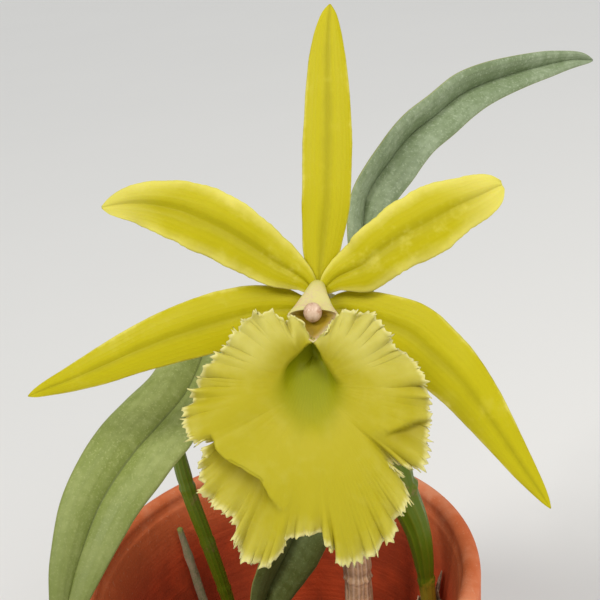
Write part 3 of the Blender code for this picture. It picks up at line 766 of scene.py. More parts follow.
RHIZOME = [(-30, 17, 69), (-12, 9, 70), (14, 7, 70.5), (36, 5, 70), (52, 2, 69)]
ROOTS = {
    "root_wall": [(-30, 18, 71), (-33, 28, 74), *[(131, z) for z in (86, 98, 111, 125, 137)]],
    "root_front": [(-8, 3, 71), (-13, -12, 73.5), (-12, -28, 73), (-22, -40, 71), (-30, -43, 66)],
    "root_back": [(8, 13, 71), (10, 26, 74), (-2, 40, 73), (-18, 47, 69), (-24, 48, 64)],
    "root_right": [(40, -1.5, 71), (38, -16, 74), (28, -30, 73), (16, -40, 71), (4, -46, 66)],
    "root_far": [(46, 9, 71), (44, 22, 74), (34, 34, 73), (20, 40, 71), (12, 44, 66)],
}
ROOT_OFF_WALL = 3.3
BULB_LEFT = [(-23, 16, 73), (-23, 16.5, 100), (-24, 17, 121), (-28, 20, 151), (-32, 24, 175),
             (-34, 28, 202)]
BULB_FLOWERING = [(50, 2, 73), (55, 1.5, 90), (59, 0.5, 108), (59, -1, 126), (58, -2, 151),
                  (56, -0.5, 164), (52, 1, 178), (47, 1, 205), (43, 1, 232), (42, 2, 248)]
BULB_OLD = [(27, 6.5, 73), (30, 6.5, 100), (31, 6.5, 121), (32, 8, 138), (32, 10, 155),
            (31, 11, 164)]
YOUNG_STEM = [(-13, 6.5, 73), (-16, 0, 92), (-16.5, -6, 108), (-13, -8.5, 126)]
FLOWER_STALK = [(41.4, -0.4, 246.0), (41, -2.5, 256), (37, -6, 263.5), (32, -14.5, 269.9),
                (29.6, -29.5, 276.8)]


def rounded_ends(up, radii, path_length):
    """Radius along a stem, closed with a round cap at each end."""
    radius = along(radii, up)
    for edge in (up, 1.0 - up):
        cap = np.maximum(radius / path_length, 1e-6) * 0.8
        inside = np.clip(edge / cap, 0.0, 1.0)
        radius = radius * np.sqrt(1.0 - (1.0 - inside) ** 2)
    return radius


def tube(name, path, radii, columns=28, rows=90, flat=1.0, rings=(), ribs=0, rough=0.0,
         facing=(0.0, -1.0, 0.15)):
    """A closed tube swept along a path, flattened front to back, with rings at its nodes."""
    points = smooth_path(path, FINE)
    side, front = path_frames(points, np.tile(facing, (FINE, 1)))
    total = np.linalg.norm(np.diff(points, axis=0), axis=1).sum()

    def place(around, up):
        share = 0.35 * (0.5 - 0.5 * np.cos(np.pi * up)) + 0.65 * up
        radius = rounded_ends(share, radii, total)
        for at in rings:
            radius = radius * (1.0 + 0.13 * np.exp(-((share - at) / 0.008) ** 2)
                               - 0.06 * np.exp(-((share - at - 0.018) / 0.01) ** 2))
        turn = np.pi + math.tau * around
        if ribs:
            radius = radius * (1.0 + 0.035 * np.cos(ribs * turn))
        if rough:
            radius = radius + rough * wobble(np.cos(turn), share * total, 1.2, 0.16, 3.0)
        sample = [np.interp(share, np.linspace(0, 1, FINE), array[:, k])
                  for array in (points, side, front) for k in range(3)]
        centre, along_side, along_front = (np.column_stack(sample[i:i + 3]) for i in (0, 3, 6))
        return (centre + along_side * (radius * np.sin(turn))[:, None]
                + along_front * (radius * flat * np.cos(turn))[:, None])

    piece, _, _ = grid(name, columns, rows, place)
    weld(piece, 0.003)
    return piece


def stem(name, path, radii, material, slot, node, **shape):
    piece = tube(name, path, radii, **shape)
    settle(piece)
    return finish_piece(piece, material, node, slot)


def root_route(route, look):
    """A root's points, with those given as a bearing and a height put on the inner wall."""
    points = []
    for point in route:
        if len(point) == 2:
            turn, reach = math.radians(point[0]), pot_inner_radius(point[1], look) - ROOT_OFF_WALL
            point = (reach * math.cos(turn), reach * math.sin(turn), point[1])
        points.append(point)
    start, following = Vector(points[0]), Vector(points[1])
    points[0] = tuple(start + (following - start).normalized() * 3.0)
    return points


def build_stems(plant):
    left = bulb_material(plant, "bulb_left_skin", 0.02, 0.10)
    right = bulb_material(plant, "bulb_right_skin", 0.392, 0.412)
    old = paper_material("old_bulb_skin", plant.old, darker(0.6, plant.old),
                         (0.72, 0.53, 0.38))
    stem("pseudobulb_left", BULB_LEFT,
         [(0, 3.4), (0.1, 2.6), (0.35, 2.6), (0.5, 2.9), (0.85, 3.2), (1, 2.6)], left, "bulb",
         "bulb_left", rings=(0.16, 0.42, 0.60, 0.80), ribs=5)
    stem("pseudobulb_flowering", BULB_FLOWERING,
         [(0, 3.8), (0.15, 2.8), (0.35, 3.3), (0.5, 5.2), (0.62, 7.1), (0.75, 6.8), (0.92, 4.5),
          (1, 3.0)], right, "bulb", "bulb_flowering", rows=140, rings=(0.17, 0.345, 0.60, 0.83),
         flat=0.8, ribs=7)
    stem("pseudobulb_old", BULB_OLD, [(0, 4.8), (0.3, 5.5), (0.8, 5.6), (1, 4.4)], old,
         "papery_sheath", "bulb_old", rings=(0.3, 0.66), ribs=9, rough=0.5, columns=48)
    stem("young_stem", YOUNG_STEM, [(0, 4.4), (0.4, 5.4), (1, 4.8)],
         bulb_material(plant, "young_stem_skin", 0.3, 1.2), "green_sheath", "young_growth",
         rings=(0.35,))
    stem("peduncle_and_ovary", FLOWER_STALK, [(0, 1.8), (0.45, 2.0), (0.85, 3.2), (1, 4.2)],
         bulb_material(plant, "stalk_skin", 0.9, 2.6), "stalk", "flower_stalk", ribs=6,
         columns=36, rows=60)


def build_roots(plant, pot_look):
    skin = root_material(plant)
    wood = paper_material("rhizome_skin", (0.20, 0.16, 0.06), (0.07, 0.05, 0.02),
                          (0.34, 0.28, 0.14))
    stem("rhizome_creeping", RHIZOME, [(0, 3.5), (0.3, 4.8), (0.6, 4.6), (1, 4.2)], wood,
         "rhizome", "rhizome", rings=(0.12, 0.24, 0.36, 0.48, 0.6, 0.72, 0.86), rough=0.5)
    for name, route in ROOTS.items():
        stem(name + "_velamen", root_route(route, pot_look), [(0, 2.0), (0.8, 1.9), (1, 1.2)],
             skin, "root", name, columns=18, rows=70, rough=0.35)


def sleeve(name, path, radii, wrap, ragged, material, slot, node, seed):
    """A papery sheath round a stem, torn along its top and open on one side."""
    rows = 26
    points = smooth_path(path, rows + 1)
    facing = np.tile((0.0, -1.0, 0.2), (rows + 1, 1))
    side, front = path_frames(points, facing)
    grow = points[-1] - points[0]

    def place(around, up):
        row = np.clip(np.round(up * rows).astype(int), 0, rows)
        turn = np.radians(-wrap / 2 + wrap * around) + 0.6
        turned = np.where(wrap >= 360, np.cos(turn), around)
        tear = wobble(turned, np.sin(turn), 3.0, 3.0, seed) * ragged * up ** 3
        crinkle = 0.22 * wobble(np.cos(turn) + np.sin(turn), up, 4.0, 5.0, seed + 4)
        radius = along(radii, up) + crinkle * (0.3 + up)
        spot = points[row] + side[row] * (radius * np.sin(turn))[:, None]
        return spot + front[row] * (radius * np.cos(turn))[:, None] + tear[:, None] * grow

    piece, _, up = grid(name, 72, rows, place)
    if wrap >= 360:
        edit(piece, lambda: bpy.ops.mesh.remove_doubles(threshold=0.003))
        up = np.zeros(len(piece.data.vertices))
    thicken(piece, 0.4, 1.0 - 0.6 * up)
    settle(piece)
    return finish_piece(piece, material, node, slot)


def build_sheaths(plant):
    tan = paper_material("dry_sheath", plant.paper, darker(0.35, plant.paper),
                         (0.66, 0.50, 0.32))
    green = paper_material("green_sheath_skin", (0.30, 0.33, 0.09), (0.16, 0.20, 0.04),
                           (0.50, 0.50, 0.22))
    sleeve("basal_sheath_right", [(58.6, 0.6, 104), (59.1, -0.6, 121)],
           [(0, 4.0), (0.6, 4.3), (1, 4.9)], 360, 0.35, tan, "papery_sheath", "sheath_right", 1.0)
    sleeve("basal_sheath_left", [(-23, 16.1, 75), (-23.1, 16.6, 97)],
           [(0, 4.0), (0.5, 3.7), (1, 3.7)], 360, 0.3, tan, "papery_sheath", "sheath_left", 2.0)
    sleeve("young_sheath", [(-15.0, 3, 82), (-16.6, -4.5, 103)],
           [(0, 5.8), (0.6, 6.4), (1, 6.9)], 360, 0.25, green, "green_sheath", "sheath_young", 3.0)
    sleeve("stalk_sheath", [(41.2, -1.2, 249), (40.5, -3.2, 258.0)],
           [(0, 2.5), (0.5, 3.0), (1, 3.4)], 300, 0.4, green, "green_sheath", "flower_sheath", 4.0)
    sleeve("torn_husk", [(58.5, 11, 97), (60.5, 10.5, 112), (62.8, 9.5, 123)],
           [(0, 2.3), (0.6, 2.7), (1, 3.2)], 190, 0.5, tan, "papery_sheath", "husk_right", 5.0)


# ---------------------------------------------------------------- leaves

LEAF_LEFT = [(-34.0, 28.2, 201), (-31, 31, 215), (-23.5, 31, 228), (-16.5, 24.5, 236),
             (-15.5, 13, 238), (-22, 0, 232.5), (-32, -9.5, 227), (-42, -18, 221.5),
             (-53.5, -30, 212), (-62, -42.5, 199.5), (-67, -51.5, 189), (-72, -60, 177)]
LEAF_RIGHT = [(43.2, 4.8, 246.5), (46.5, 12, 258), (49, 20, 274), (53, 29, 288), (64, 38, 298),
              (73, 45, 304), (83, 51, 308), (94, 59, 312), (105, 65, 314), (120, 73, 314.5),
              (135, 81, 314), (148, 87, 313), (157, 91, 311)]
LEAF_YOUNG = [(-12.4, -8.6, 124), (-6, -8, 142), (1, -7, 155), (8, -6, 167), (16, -4, 180),
              (23, -1, 193), (28, 2, 204)]


def leaf(name, node, path, halves, facings, fold, thickness, material, seed, rows=120):
    """A leathery leaf: two gently convex halves that meet in a crease along the midrib."""
    columns = 30
    points = smooth_path(path, rows + 1)
    shares = np.linspace(0.0, 1.0, rows + 1)
    facing = np.column_stack([along([(at, value[k]) for at, value in facings], shares)
                              for k in range(3)])
    side, front = path_frames(points, facing)

    def place(across, up):
        row = np.clip(np.round(up * rows).astype(int), 0, rows)
        s = 2 * across - 1
        half = along(halves, up)
        slope = np.radians(along(fold, up))
        belly = 0.16 * half * np.sin(np.pi * np.abs(s)) ** 0.9
        sway = 0.35 * wobble(across, up, 2.0, 5.0, seed) * np.minimum(half / 8, 1)
        offset = side[row] * (s * half * np.cos(slope))[:, None]
        return points[row] + offset + front[row] * (np.abs(s) * half * np.sin(slope) + belly
                                                    + sway)[:, None]

    piece, across, up = grid(name, columns, rows, place)
    s = np.abs(2 * across - 1)
    thicken(piece, thickness / MM, (1.0 - 0.72 * s ** 6) * np.clip((1.0 - up) * 14, 0.25, 1.0))
    settle(piece)
    return finish_piece(piece, material, node, "leaf")


def build_leaves(plant):
    # the left leaf gets painted shade towards its end
    skin = leaf_material("left_leaf_leather", plant.leaf, plant.leaf_sheen, 0.75)
    upper = leaf_material("upper_leaf_leather", plant.upper_leaf, plant.upper_sheen)
    young = leaf_material("young_leaf_leather", plant.young_leaf, plant.young_sheen)
    thick = plant.leaf_thickness
    leaf("leaf_arching_left", "leaf_left", LEAF_LEFT,
         [(0, 2.4), (0.08, 4.5), (0.2, 10), (0.34, 14), (0.5, 15.5), (0.62, 14.8), (0.74, 12.6),
          (0.85, 9.0), (0.93, 5.2), (0.98, 2.2), (1, 0.5)],
         [(0, (0.0, 0.9, 0.1)), (0.14, (-0.2, 0.75, 0.6)), (0.27, (0.05, 0.25, 1.0)),
          (0.42, (0.1, -0.3, 0.95)), (0.6, (0.2, -0.6, 0.75)), (1, (0.35, -0.75, 0.5))],
         [(0, 55), (0.2, 26), (0.5, 10), (1, 18)], thick, skin, 1.0)
    leaf("leaf_arching_right", "leaf_right", LEAF_RIGHT,
         [(0, 2.2), (0.06, 4.6), (0.18, 10.5), (0.35, 12.2), (0.6, 11), (0.85, 7), (0.95, 4),
          (0.985, 2.2), (1, 0.6)],
         [(0, (0.1, -0.9, 0.4)), (0.3, (0.3, -0.95, 0.2)), (1, (0.2, -0.85, 0.35))],
         [(0, 60), (0.2, 42), (0.6, 38), (1, 45)], thick, upper, 2.0)
    leaf("leaf_young_centre", "leaf_young", LEAF_YOUNG,
         [(0, 3.8), (0.2, 9.0), (0.45, 13.5), (0.65, 13.5), (0.85, 8.5), (0.95, 4), (1, 0.6)],
         [(0, (0.3, -0.95, 0.3)), (1, (0.55, -0.8, 0.2))],
         [(0, 55), (0.3, 26), (1, 22)], thick, young, 3.0, rows=80)


# ---------------------------------------------------------------- sepals and petals

# spine points (u, v, w), then half widths as (share of length, mm)
DORSAL = [(0.2, 1.6, -1.6), (0.4, 6.5, -1.0), (1.1, 15.5, -1.0), (2.6, 31, -1.0),
          (3.1, 49.5, -2.0), (3.2, 63, -3.0), (3.1, 76, -4.0), (3.4, 86, -5.0), (4.0, 94.4, -6.0)]
DORSAL_HALF = [(0, 2.8), (0.06, 3.6), (0.15, 5.9), (0.3, 7.6), (0.52, 7.9), (0.68, 7.1),
               (0.81, 5.9), (0.9, 4.4), (0.96, 2.8), (0.985, 1.7), (1, 0.3)]
PETAL_LEFT = [(-1.6, 3.6, 1.2), (-5.2, 6.9, 2.0), (-12.4, 11.2, 3.0), (-19.5, 16, 4.0),
              (-28, 21.2, 5.0), (-35.2, 24.6, 5.0), (-43.1, 27.8, 4.0), (-53, 29.9, 2.0),
              (-60.7, 30.2, -1.0), (-68.4, 29.4, -4.0)]
PETAL_LEFT_HALF = [(0, 2.2), (0.07, 4.6), (0.17, 7.7), (0.29, 9.0), (0.43, 9.8), (0.53, 10.4),
                   (0.66, 9.3), (0.8, 7.3), (0.91, 4.6), (0.97, 2.6), (1, 0.4)]
PETAL_RIGHT = [(1.8, 3.6, 1.2), (6.2, 7.2, 2.0), (13.8, 10.8, 3.0), (20, 15.8, 4.0),
               (28, 20.9, 5.0), (35.3, 24.8, 5.0), (42.1, 28.6, 4.0), (48.9, 31.7, 3.0),
               (57.4, 35.8, 2.0)]
PETAL_RIGHT_HALF = [(0, 2.2), (0.08, 4.8), (0.2, 8.4), (0.34, 9.3), (0.5, 10.2), (0.62, 10.6),
                    (0.76, 8.7), (0.88, 7.2), (0.95, 5.6), (0.985, 3.6), (1, 1.4)]
LATERAL_LEFT = [(-0.6, -1.6, -2.6), (-4.6, -2.5, -2.4), (-11.1, -2.7, -2.4), (-20.2, -3.8, -2.2),
                (-28.8, -6, -1.6), (-38.3, -8.8, -1.0), (-47.7, -12, -1.0), (-57.2, -15.8, -1.0),
                (-67.1, -20.3, -2.0), (-77.8, -24.9, -4.0), (-85.9, -28, -6.0),
                (-92.8, -30.8, -8.0)]
LATERAL_LEFT_HALF = [(0, 2.2), (0.05, 4.4), (0.11, 7.2), (0.21, 8.7), (0.31, 9.4), (0.41, 9.0),
                     (0.52, 8.1), (0.62, 7.0), (0.73, 5.7), (0.85, 3.8), (0.93, 2.4),
                     (0.98, 1.3), (1, 0.2)]
LATERAL_RIGHT = [(0.8, -1.6, -2.6), (4.4, -2.9, -2.4), (8.8, -3.0, -2.4), (15.8, -4.9, -2.2),
                 (23.4, -7.8, -1.6), (29.8, -11, -1.0), (37.8, -18, -1.0), (44.8, -25.1, -1.0),
                 (50.9, -32.7, -2.0), (57.6, -42, -3.0), (64.6, -52.1, -5.0),
                 (70.6, -60.4, -7.0), (74.9, -66.8, -8.0)]
LATERAL_RIGHT_HALF = [(0, 2.2), (0.05, 4.6), (0.1, 7.0), (0.18, 8.6), (0.26, 9.8), (0.33, 10.4),
                      (0.43, 9.9), (0.53, 8.6), (0.62, 7.5), (0.73, 5.7), (0.85, 3.9),
                      (0.93, 2.4), (0.98, 1.2), (1, 0.2)]


def flower_blade(name, node, slot, spine, halves, cup, wave, channel, thickness, material, seed):
    """A sepal or petal: a spine with a width to each side, cupped, channelled and waved."""
    rows = 110
    points = smooth_path(spine, rows + 1)
    side, front = path_frames(points, np.tile((0.0, 0.0, 1.0), (rows + 1, 1)))

    def place(across, up):
        row = np.clip(np.round(up * rows).astype(int), 0, rows)
        s = 2 * across - 1
        ripple = wobble(np.sign(s) * 0.5, up, 1.0, 9.0, seed)
        crimp = wobble(np.sign(s) * 0.5, up, 1.0, 46.0, seed + 2)
        half = along(halves, up) * (1.0 + wave * np.abs(s) * (0.03 * ripple + 0.014 * crimp))
        lift = cup * half * s * s - channel * np.exp(-(s / 0.16) ** 2) * np.minimum(half / 6, 1)
        flutter = wave * np.abs(s) ** 3 * wobble(np.sign(s) * 0.7, up, 1.0, 7.0, seed + 5)
        flutter += 0.5 * wobble(across, up, 1.6, 3.0, seed + 9) * np.minimum(half / 8, 1)
        return (points[row] + side[row] * (s * half)[:, None]
                + front[row] * (lift + flutter)[:, None])

    piece, across, up = grid(name, 30, rows, place)
    s = np.abs(2 * across - 1)
    thicken(piece, thickness, (1.0 - 0.7 * s ** 4) * np.clip((1.0 - up) * 10, 0.3, 1.0))
    settle(piece, in_flower=True)
    return finish_piece(piece, material, node, slot)


def build_sepals(look):
    skin = blade_material("sepal_tissue", look.deep, look.yellow, look.pale, rim=0.88)
    flower_blade("sepal_dorsal", "dorsal_sepal", "sepal", DORSAL, DORSAL_HALF, -0.10, 0.5, 0.35,
                 1.3, skin, 1.0)
    flower_blade("sepal_left", "lateral_sepal_left", "sepal", LATERAL_LEFT, LATERAL_LEFT_HALF,
                 -0.16, 0.6, 0.4, 1.3, skin, 2.0)
    flower_blade("sepal_right", "lateral_sepal_right", "sepal", LATERAL_RIGHT,
                 LATERAL_RIGHT_HALF, -0.16, 0.6, 0.4, 1.3, skin, 3.0)


def build_petals(look):
    skin = blade_material("petal_tissue", look.deep, look.yellow, look.pale, rim=0.55,
                          channel=0.5, tip=0.72, clouds=0.35)
    flower_blade("petal_left_blade", "petal_left", "petal", PETAL_LEFT, PETAL_LEFT_HALF, -0.10,
                 2.0, 0.9, 1.0, skin, 4.0)
    flower_blade("petal_right_blade", "petal_right", "petal", PETAL_RIGHT, PETAL_RIGHT_HALF,
                 -0.10, 2.2, 0.9, 1.0, skin, 6.0)


# ---------------------------------------------------------------- lip

LIP_CENTRE = (-1.9, -24.4)
LIP_BACK_CENTRE = (-1.8, -16.5)
LIP_BACK_DEPTH = 17.0
LIP_MOUTH_DEPTH = 25.0
LIP_SPLIT = 1.0
LIP_CLAW = [(0.0, -1.0, -2.0), (-0.4, -4.5, 3.0), (-1.2, -10.0, 9.0), (-1.8, -15.8, 16.6)]
LIP_CLAW_RADII = [(0, 2.8), (0.4, 3.4), (0.75, 4.4), (1, 3.8)]
# round the throat: degrees from straight down, positive to the left, and reach in mm
LIP_MOUTH = [
    (-180, 12.6), (-170, 10.2), (-160, 8.3), (-150, 7.2), (-130, 6.5), (-112, 6.6), (-90, 7.4),
    (-75, 7.6), (-45, 8.4), (0, 10.5), (45, 9.2), (90, 8.9), (120, 9.3), (150, 9.6),
    (165, 10.8), (180, 12.6)]
LIP_MARGIN = [
    (180, 12.8), (175, 13.6), (172, 17.5), (170, 19.5), (166, 20.9), (161, 21.3), (158, 19.8),
    (156, 19.0), (154, 21.5), (151, 24.6), (145, 25.4), (139, 27.2), (129, 26.5), (114, 27.4),
    (99, 30.8), (85, 34.8), (76, 38.4), (69, 39.0), (65, 37.0), (61, 32.6), (57, 37.4),
    (50, 41.8), (44, 44.0), (38, 44.0), (31, 44.2), (29, 45.4), (24, 52.5), (15, 54.3),
    (12.5, 51.0), (10, 44.6), (3, 42.0), (-4, 42.3), (-6.5, 46.5), (-9, 50.6), (-12, 52.6),
    (-17, 51.6), (-22, 49.4), (-28, 48.0), (-32, 44.6), (-38, 42.4), (-41, 42.2), (-43, 38.5),
    (-45, 30.0), (-47, 29.0), (-49, 33.0), (-51.5, 38.0), (-57, 37.8), (-69, 35.9), (-77, 35.0),
    (-85, 33.4), (-93, 31.6), (-101, 30.2), (-110, 28.5), (-116, 25.7), (-123, 26.0),
    (-134, 26.4), (-142, 26.6), (-147, 24.4), (-159, 22.8), (-162, 19.8), (-164.5, 17.2),
    (-170, 14.8), (-175, 13.2), (-180, 12.8)]
# folds that run out to the margin: degrees, half width in degrees, height in mm
LIP_FOLDS = [
    (147, 9, 1.6), (126, 6, -1.0), (110, 8, 1.4), (90, 7, -1.4), (72, 7, 2.2), (36, 8, 1.2),
    (18, 6, 1.6), (9, 5, -1.6), (-2, 7, 1.2), (-12, 5, -1.4), (-24, 7, 1.0), (-39, 5, 2.4),
    (-47, 4, -3.6), (-56, 6, 3.6), (-78, 7, -1.6), (-96, 7, 1.4), (-112, 6, -1.2),
    (-130, 8, 1.4), (-143, 8, 0.8)]
# where the blade doubles over the lower left lobe: degrees, reach in mm
LIP_OVERLAP = [(8, 33.0), (17, 32.8), (30, 29.9), (41, 30.4), (51, 32.2), (60, 33.0), (68, 34.0)]
LIP_OVERLAP_SHARE = 0.62
# share of the way out reached by each share of the rows: closer at the overlap and the fringe
LIP_ROWS_AT = [0.0, 0.16, 0.45, 0.68, 0.84, 1.0]
LIP_ROWS = [0.0, 0.22, 0.66, 0.76, 0.93, 1.0]
# angles where the fringe is long: degrees, half width in degrees, extra share of length
LONG_FRINGE = [(24, 6, 0.6), (-14, 5, 1.0), (-43, 4, 1.9), (-49, 4, 2.1), (-62, 6, 0.9),
               (63, 6, 0.8), (95, 8, 0.5)]


def eased(value, low, high):
    share = np.clip((value - low) / (high - low), 0.0, 1.0)
    return share * share * (3.0 - 2.0 * share)


class Margin:
    """The lip's margin with its ruffles and fringe, worked out for every angle."""

    def __init__(self, spacing):
        self.angle = np.linspace(-180.0, 180.0, 10801)
        table = sorted(LIP_MARGIN)
        drawn = np.interp(self.angle, [row[0] for row in table], [row[1] for row in table])
        kernel = np.exp(-0.5 * np.linspace(-3, 3, 151) ** 2)
        padded = np.pad(drawn, 75, mode='edge')
        radius = np.convolve(padded, kernel / kernel.sum(), mode='valid')
        step = np.radians(self.angle[1] - self.angle[0])
        self.travelled = np.cumsum(np.hypot(np.gradient(radius), radius * step))
        self.free = 1.0 - eased(np.abs(self.angle), 160.0, 170.0)
        broad, self.broad_lift = self.ruffle(9.0, 2.0, 21)
        small, self.small_lift = self.ruffle(4.3, 5.0, 22)
        self.radius = radius + (1.1 * broad + 0.9 * small - 1.0) * self.free
        self.add_teeth(spacing)

    def ruffle(self, wavelength, seed, dice):
        """Scallops that meet in notches, and how far each stands out from the blade."""
        drift = np.array([noise.noise(Vector((d / wavelength * 0.5, seed, 0.0)))
                          for d in self.travelled[::40]])
        drift = np.interp(self.travelled, self.travelled[::40], drift)
        phase = self.travelled / wavelength + 0.8 * drift
        rng = np.random.default_rng(dice)
        size = rng.uniform(0.45, 1.35, int(phase.max() - phase.min()) + 4)
        here = phase - np.floor(phase.min())
        amount = np.interp(here, np.arange(len(size)), size)
        bulge = np.abs(np.sin(np.pi * phase)) ** 0.7
        return bulge * amount, np.cos(math.tau * phase) * -amount

    def add_teeth(self, spacing):
        """A fringe of uneven pointed teeth."""
        drift = np.interp(self.travelled, self.travelled[::20], [
            noise.noise(Vector((d * 0.35, 0.0, 2.0))) for d in self.travelled[::20]])
        phase = self.travelled / spacing + 0.9 * drift
        tooth = np.floor(phase).astype(int) - int(np.floor(phase).min())
        rng = np.random.default_rng(11)
        tall = rng.uniform(0.6, 1.6, tooth.max() + 2)
        tall[rng.random(len(tall)) < 0.16] *= 0.4
        lean = rng.uniform(0.25, 0.75, len(tall))[tooth]
        part = phase - np.floor(phase)
        shape = np.where(part < lean, part / lean, (1.0 - part) / (1.0 - lean))
        extra = sum(more * np.exp(-((self.angle - at) / wide) ** 2)
                    for at, wide, more in LONG_FRINGE)
        still = 1.0 - 0.7 * np.exp(-((self.angle - 3.0) / 6.0) ** 2)
        self.teeth = shape ** 1.3 * tall[tooth] * (1.0 + extra) * self.free * still
        self.curl = rng.uniform(-1.0, 1.0, len(tall))[tooth] * shape
        self.bend = rng.uniform(-1.0, 1.0, len(tall))[tooth] * shape

    def angle_at(self, around):
        """Angle for a share of the way round, crowded where the margin is long."""
        share = self.travelled - self.travelled[0]
        mixed = 0.75 * share / share[-1] + 0.25 * (self.angle + 180.0) / 360.0
        limit = 180.0 - LIP_SPLIT
        return np.clip(np.interp(around, mixed, self.angle), -limit, limit)

    def read(self, values, angle):
        return np.interp(angle, self.angle, values)


def side_fold(u, v):
    """The fold that runs in from the notch at the lower right: depth, and share in its shade."""
    off = v - np.interp(u, [14.0, 20.0, 24.0, 28.0, 33.0], [-38.6, -37.4, -36.2, -34.6, -34.2])
    grow = eased(u, 13.0, 24.0)
    over = 1.0 / (1.0 + np.exp(-np.clip(off / 0.45, -40, 40)))
    near = np.exp(-np.abs(off) / 4.0)
    return grow * near * (1.4 * over - 3.0 * (1.0 - over)), grow * near * (1.0 - over)


def overlap(angle, beyond):
    """Where the blade doubles over itself: how strongly, and how far past the doubled edge."""
    strength = eased(angle, 9.0, 34.0) * (1.0 - eased(angle, 56.0, 66.0))
    return strength, beyond - LIP_OVERLAP_SHARE


def lip_shares(margin, around, grown):
    """For each point: angle, share of the way up the throat, and share of the blade beyond."""
    outward = np.interp(grown, LIP_ROWS_AT, LIP_ROWS)
    angle = margin.angle_at(around)
    throat_share = 0.22 + 0.76 * np.exp(-((180.0 - np.abs(angle)) / 7.0) ** 2)
    inside = np.minimum(outward / throat_share, 1.0)
    beyond = np.maximum(0.0, (outward - throat_share) / (1.0 - throat_share))
    return angle, inside, beyond


def lip_surface(margin, around, grown):
    """Points of the lip: a throat below the column that opens into a broad ruffled blade."""
    angle, inside, beyond = lip_shares(margin, around, grown)
    turn = np.radians(angle)
    below = np.clip(np.cos(turn), 0.0, 1.0) ** 1.5
    above = eased(np.abs(angle), 95.0, 140.0)
    mouth = along(LIP_MOUTH, angle)
    widen = inside ** (0.5 + 0.4 * below) * (1.0 + 0.55 * above * inside * (1.0 - inside))
    radius = mouth * widen + (margin.read(margin.radius, angle) - mouth) * beyond
    tip = np.clip((beyond - 0.91) / 0.09, 0.0, 1.0)
    radius = radius + margin.read(margin.teeth, angle) * tip ** 1.5 - 0.6 * tip
    past = np.maximum(radius - mouth, 0.0) * (inside >= 1.0)
    doubled, off = overlap(angle, beyond)
    wanted = along(LIP_OVERLAP, np.clip(angle, 8.0, 68.0))
    given = mouth + (margin.read(margin.radius, angle) - mouth) * LIP_OVERLAP_SHARE
    hat = np.minimum(beyond / LIP_OVERLAP_SHARE, (1.0 - beyond) / (1.0 - LIP_OVERLAP_SHARE))
    shifted = eased(angle, 0.0, 34.0) * (1.0 - eased(angle, 55.0, 85.0))
    radius = radius + shifted * (wanted - given) * hat ** 1.5
    radius = radius + doubled * (1.2 * np.exp(-((off + 0.035) / 0.035) ** 2)
                                 - 2.2 * np.exp(-((off - 0.04) / 0.05) ** 2))
    depth = LIP_BACK_DEPTH + (LIP_MOUTH_DEPTH - LIP_BACK_DEPTH) * inside ** (1.15 - 0.25 * below)
    depth = depth + (2.6 + 4.4 * below) * (1.0 - np.exp(-past / 7.0)) - 0.0028 * past ** 2 * below
    pillow = eased(np.abs(angle), 40.0, 80.0) * (1.0 - eased(np.abs(angle), 155.0, 172.0))
    depth = depth + 2.4 * pillow * np.sin(np.pi * np.minimum(beyond / 0.85, 1.0)) - 1.6 * (
        pillow * beyond ** 3)
    folds = sum(h * np.exp(-((angle - at) / wide) ** 2) for at, wide, h in LIP_FOLDS)
    depth = depth + folds * beyond ** 3
    depth = depth + 1.5 * margin.read(margin.broad_lift, angle) * beyond ** 6
    depth = depth + 0.9 * margin.read(margin.small_lift, angle) * beyond ** 10
    depth = depth + 0.9 * margin.read(margin.curl, angle) * tip
    centre = [a + (b - a) * inside for a, b in zip(LIP_BACK_CENTRE, LIP_CENTRE)]
    depth = depth + doubled * (1.4 * np.exp(-np.abs(off) / 0.10) * (off < 0.0)
                               - 5.0 * eased(off, -0.02, 0.06) * np.exp(-off.clip(0) / 0.30)
                               + 1.4 * (off >= 0.0) * np.exp(-off.clip(0) / 0.02))
    slip = 0.8 * margin.read(margin.small_lift, angle) * beyond ** 10
    slip = slip + 0.7 * margin.read(margin.bend, angle) * tip ** 2
    turn = turn + slip / np.maximum(radius, 8.0)
    u = centre[0] - radius * np.sin(turn)
    v = centre[1] - radius * np.cos(turn)
    depth = depth + side_fold(u, v)[0] * np.clip(beyond * 1.5, 0, 1)
    depth = depth + 0.9 * wobble(u, v, 0.09, 0.09, 3.0) * beyond
    ribs = np.exp(-((angle + 27.0) / 16.0) ** 2) * np.sin(angle * 3.4) * 0.09
    depth = depth + ribs * np.clip((beyond - 0.3) * 2, 0, 1)
    return np.column_stack([u, v, depth])


def tone_lip(piece, margin, around, grown, points):
    """Store where the lip is throat, shaded fold, pale lobe and fringe."""
    angle, inside, beyond = lip_shares(margin, around, grown)
    above = eased(np.abs(angle), 80.0, 125.0)
    climb = inside + 4.0 * beyond
    throat = 1.0 - eased(climb, 0.40 + 0.50 * above, 1.75 - 0.67 * above)
    pale = 0.75 * above * eased(beyond, 0.05, 0.6) + 0.35 * eased(beyond, 0.72, 1.0)
    dips = np.clip(-margin.read(margin.broad_lift, angle), 0.0, 1.0) * beyond ** 5
    doubled, off = overlap(angle, beyond)
    # painted shade: the stored shade darkens the fold at the lower right, the ruffles' dips and the
    # strip beside the doubled lobe
    shade = side_fold(points[:, 0], points[:, 1])[1] * np.clip(beyond * 1.5, 0, 1) + 0.15 * dips
    shade = shade + doubled * (off > 0.0) * np.exp(-off.clip(0) / 0.12)
    store(piece, "throat", throat)
    store(piece, "pale", pale)
    store(piece, "shade", shade)
    store(piece, "fringe", eased(beyond, 0.93, 1.0))


def join_claw(piece):
    """Add the narrow claw that carries the lip from the flower's centre."""
    claw = tube("claw", LIP_CLAW, LIP_CLAW_RADII, columns=32, rows=40, flat=0.75,
                facing=(0.0, -1.0, 1.0))
    select(piece, claw)
    bpy.ops.object.join()


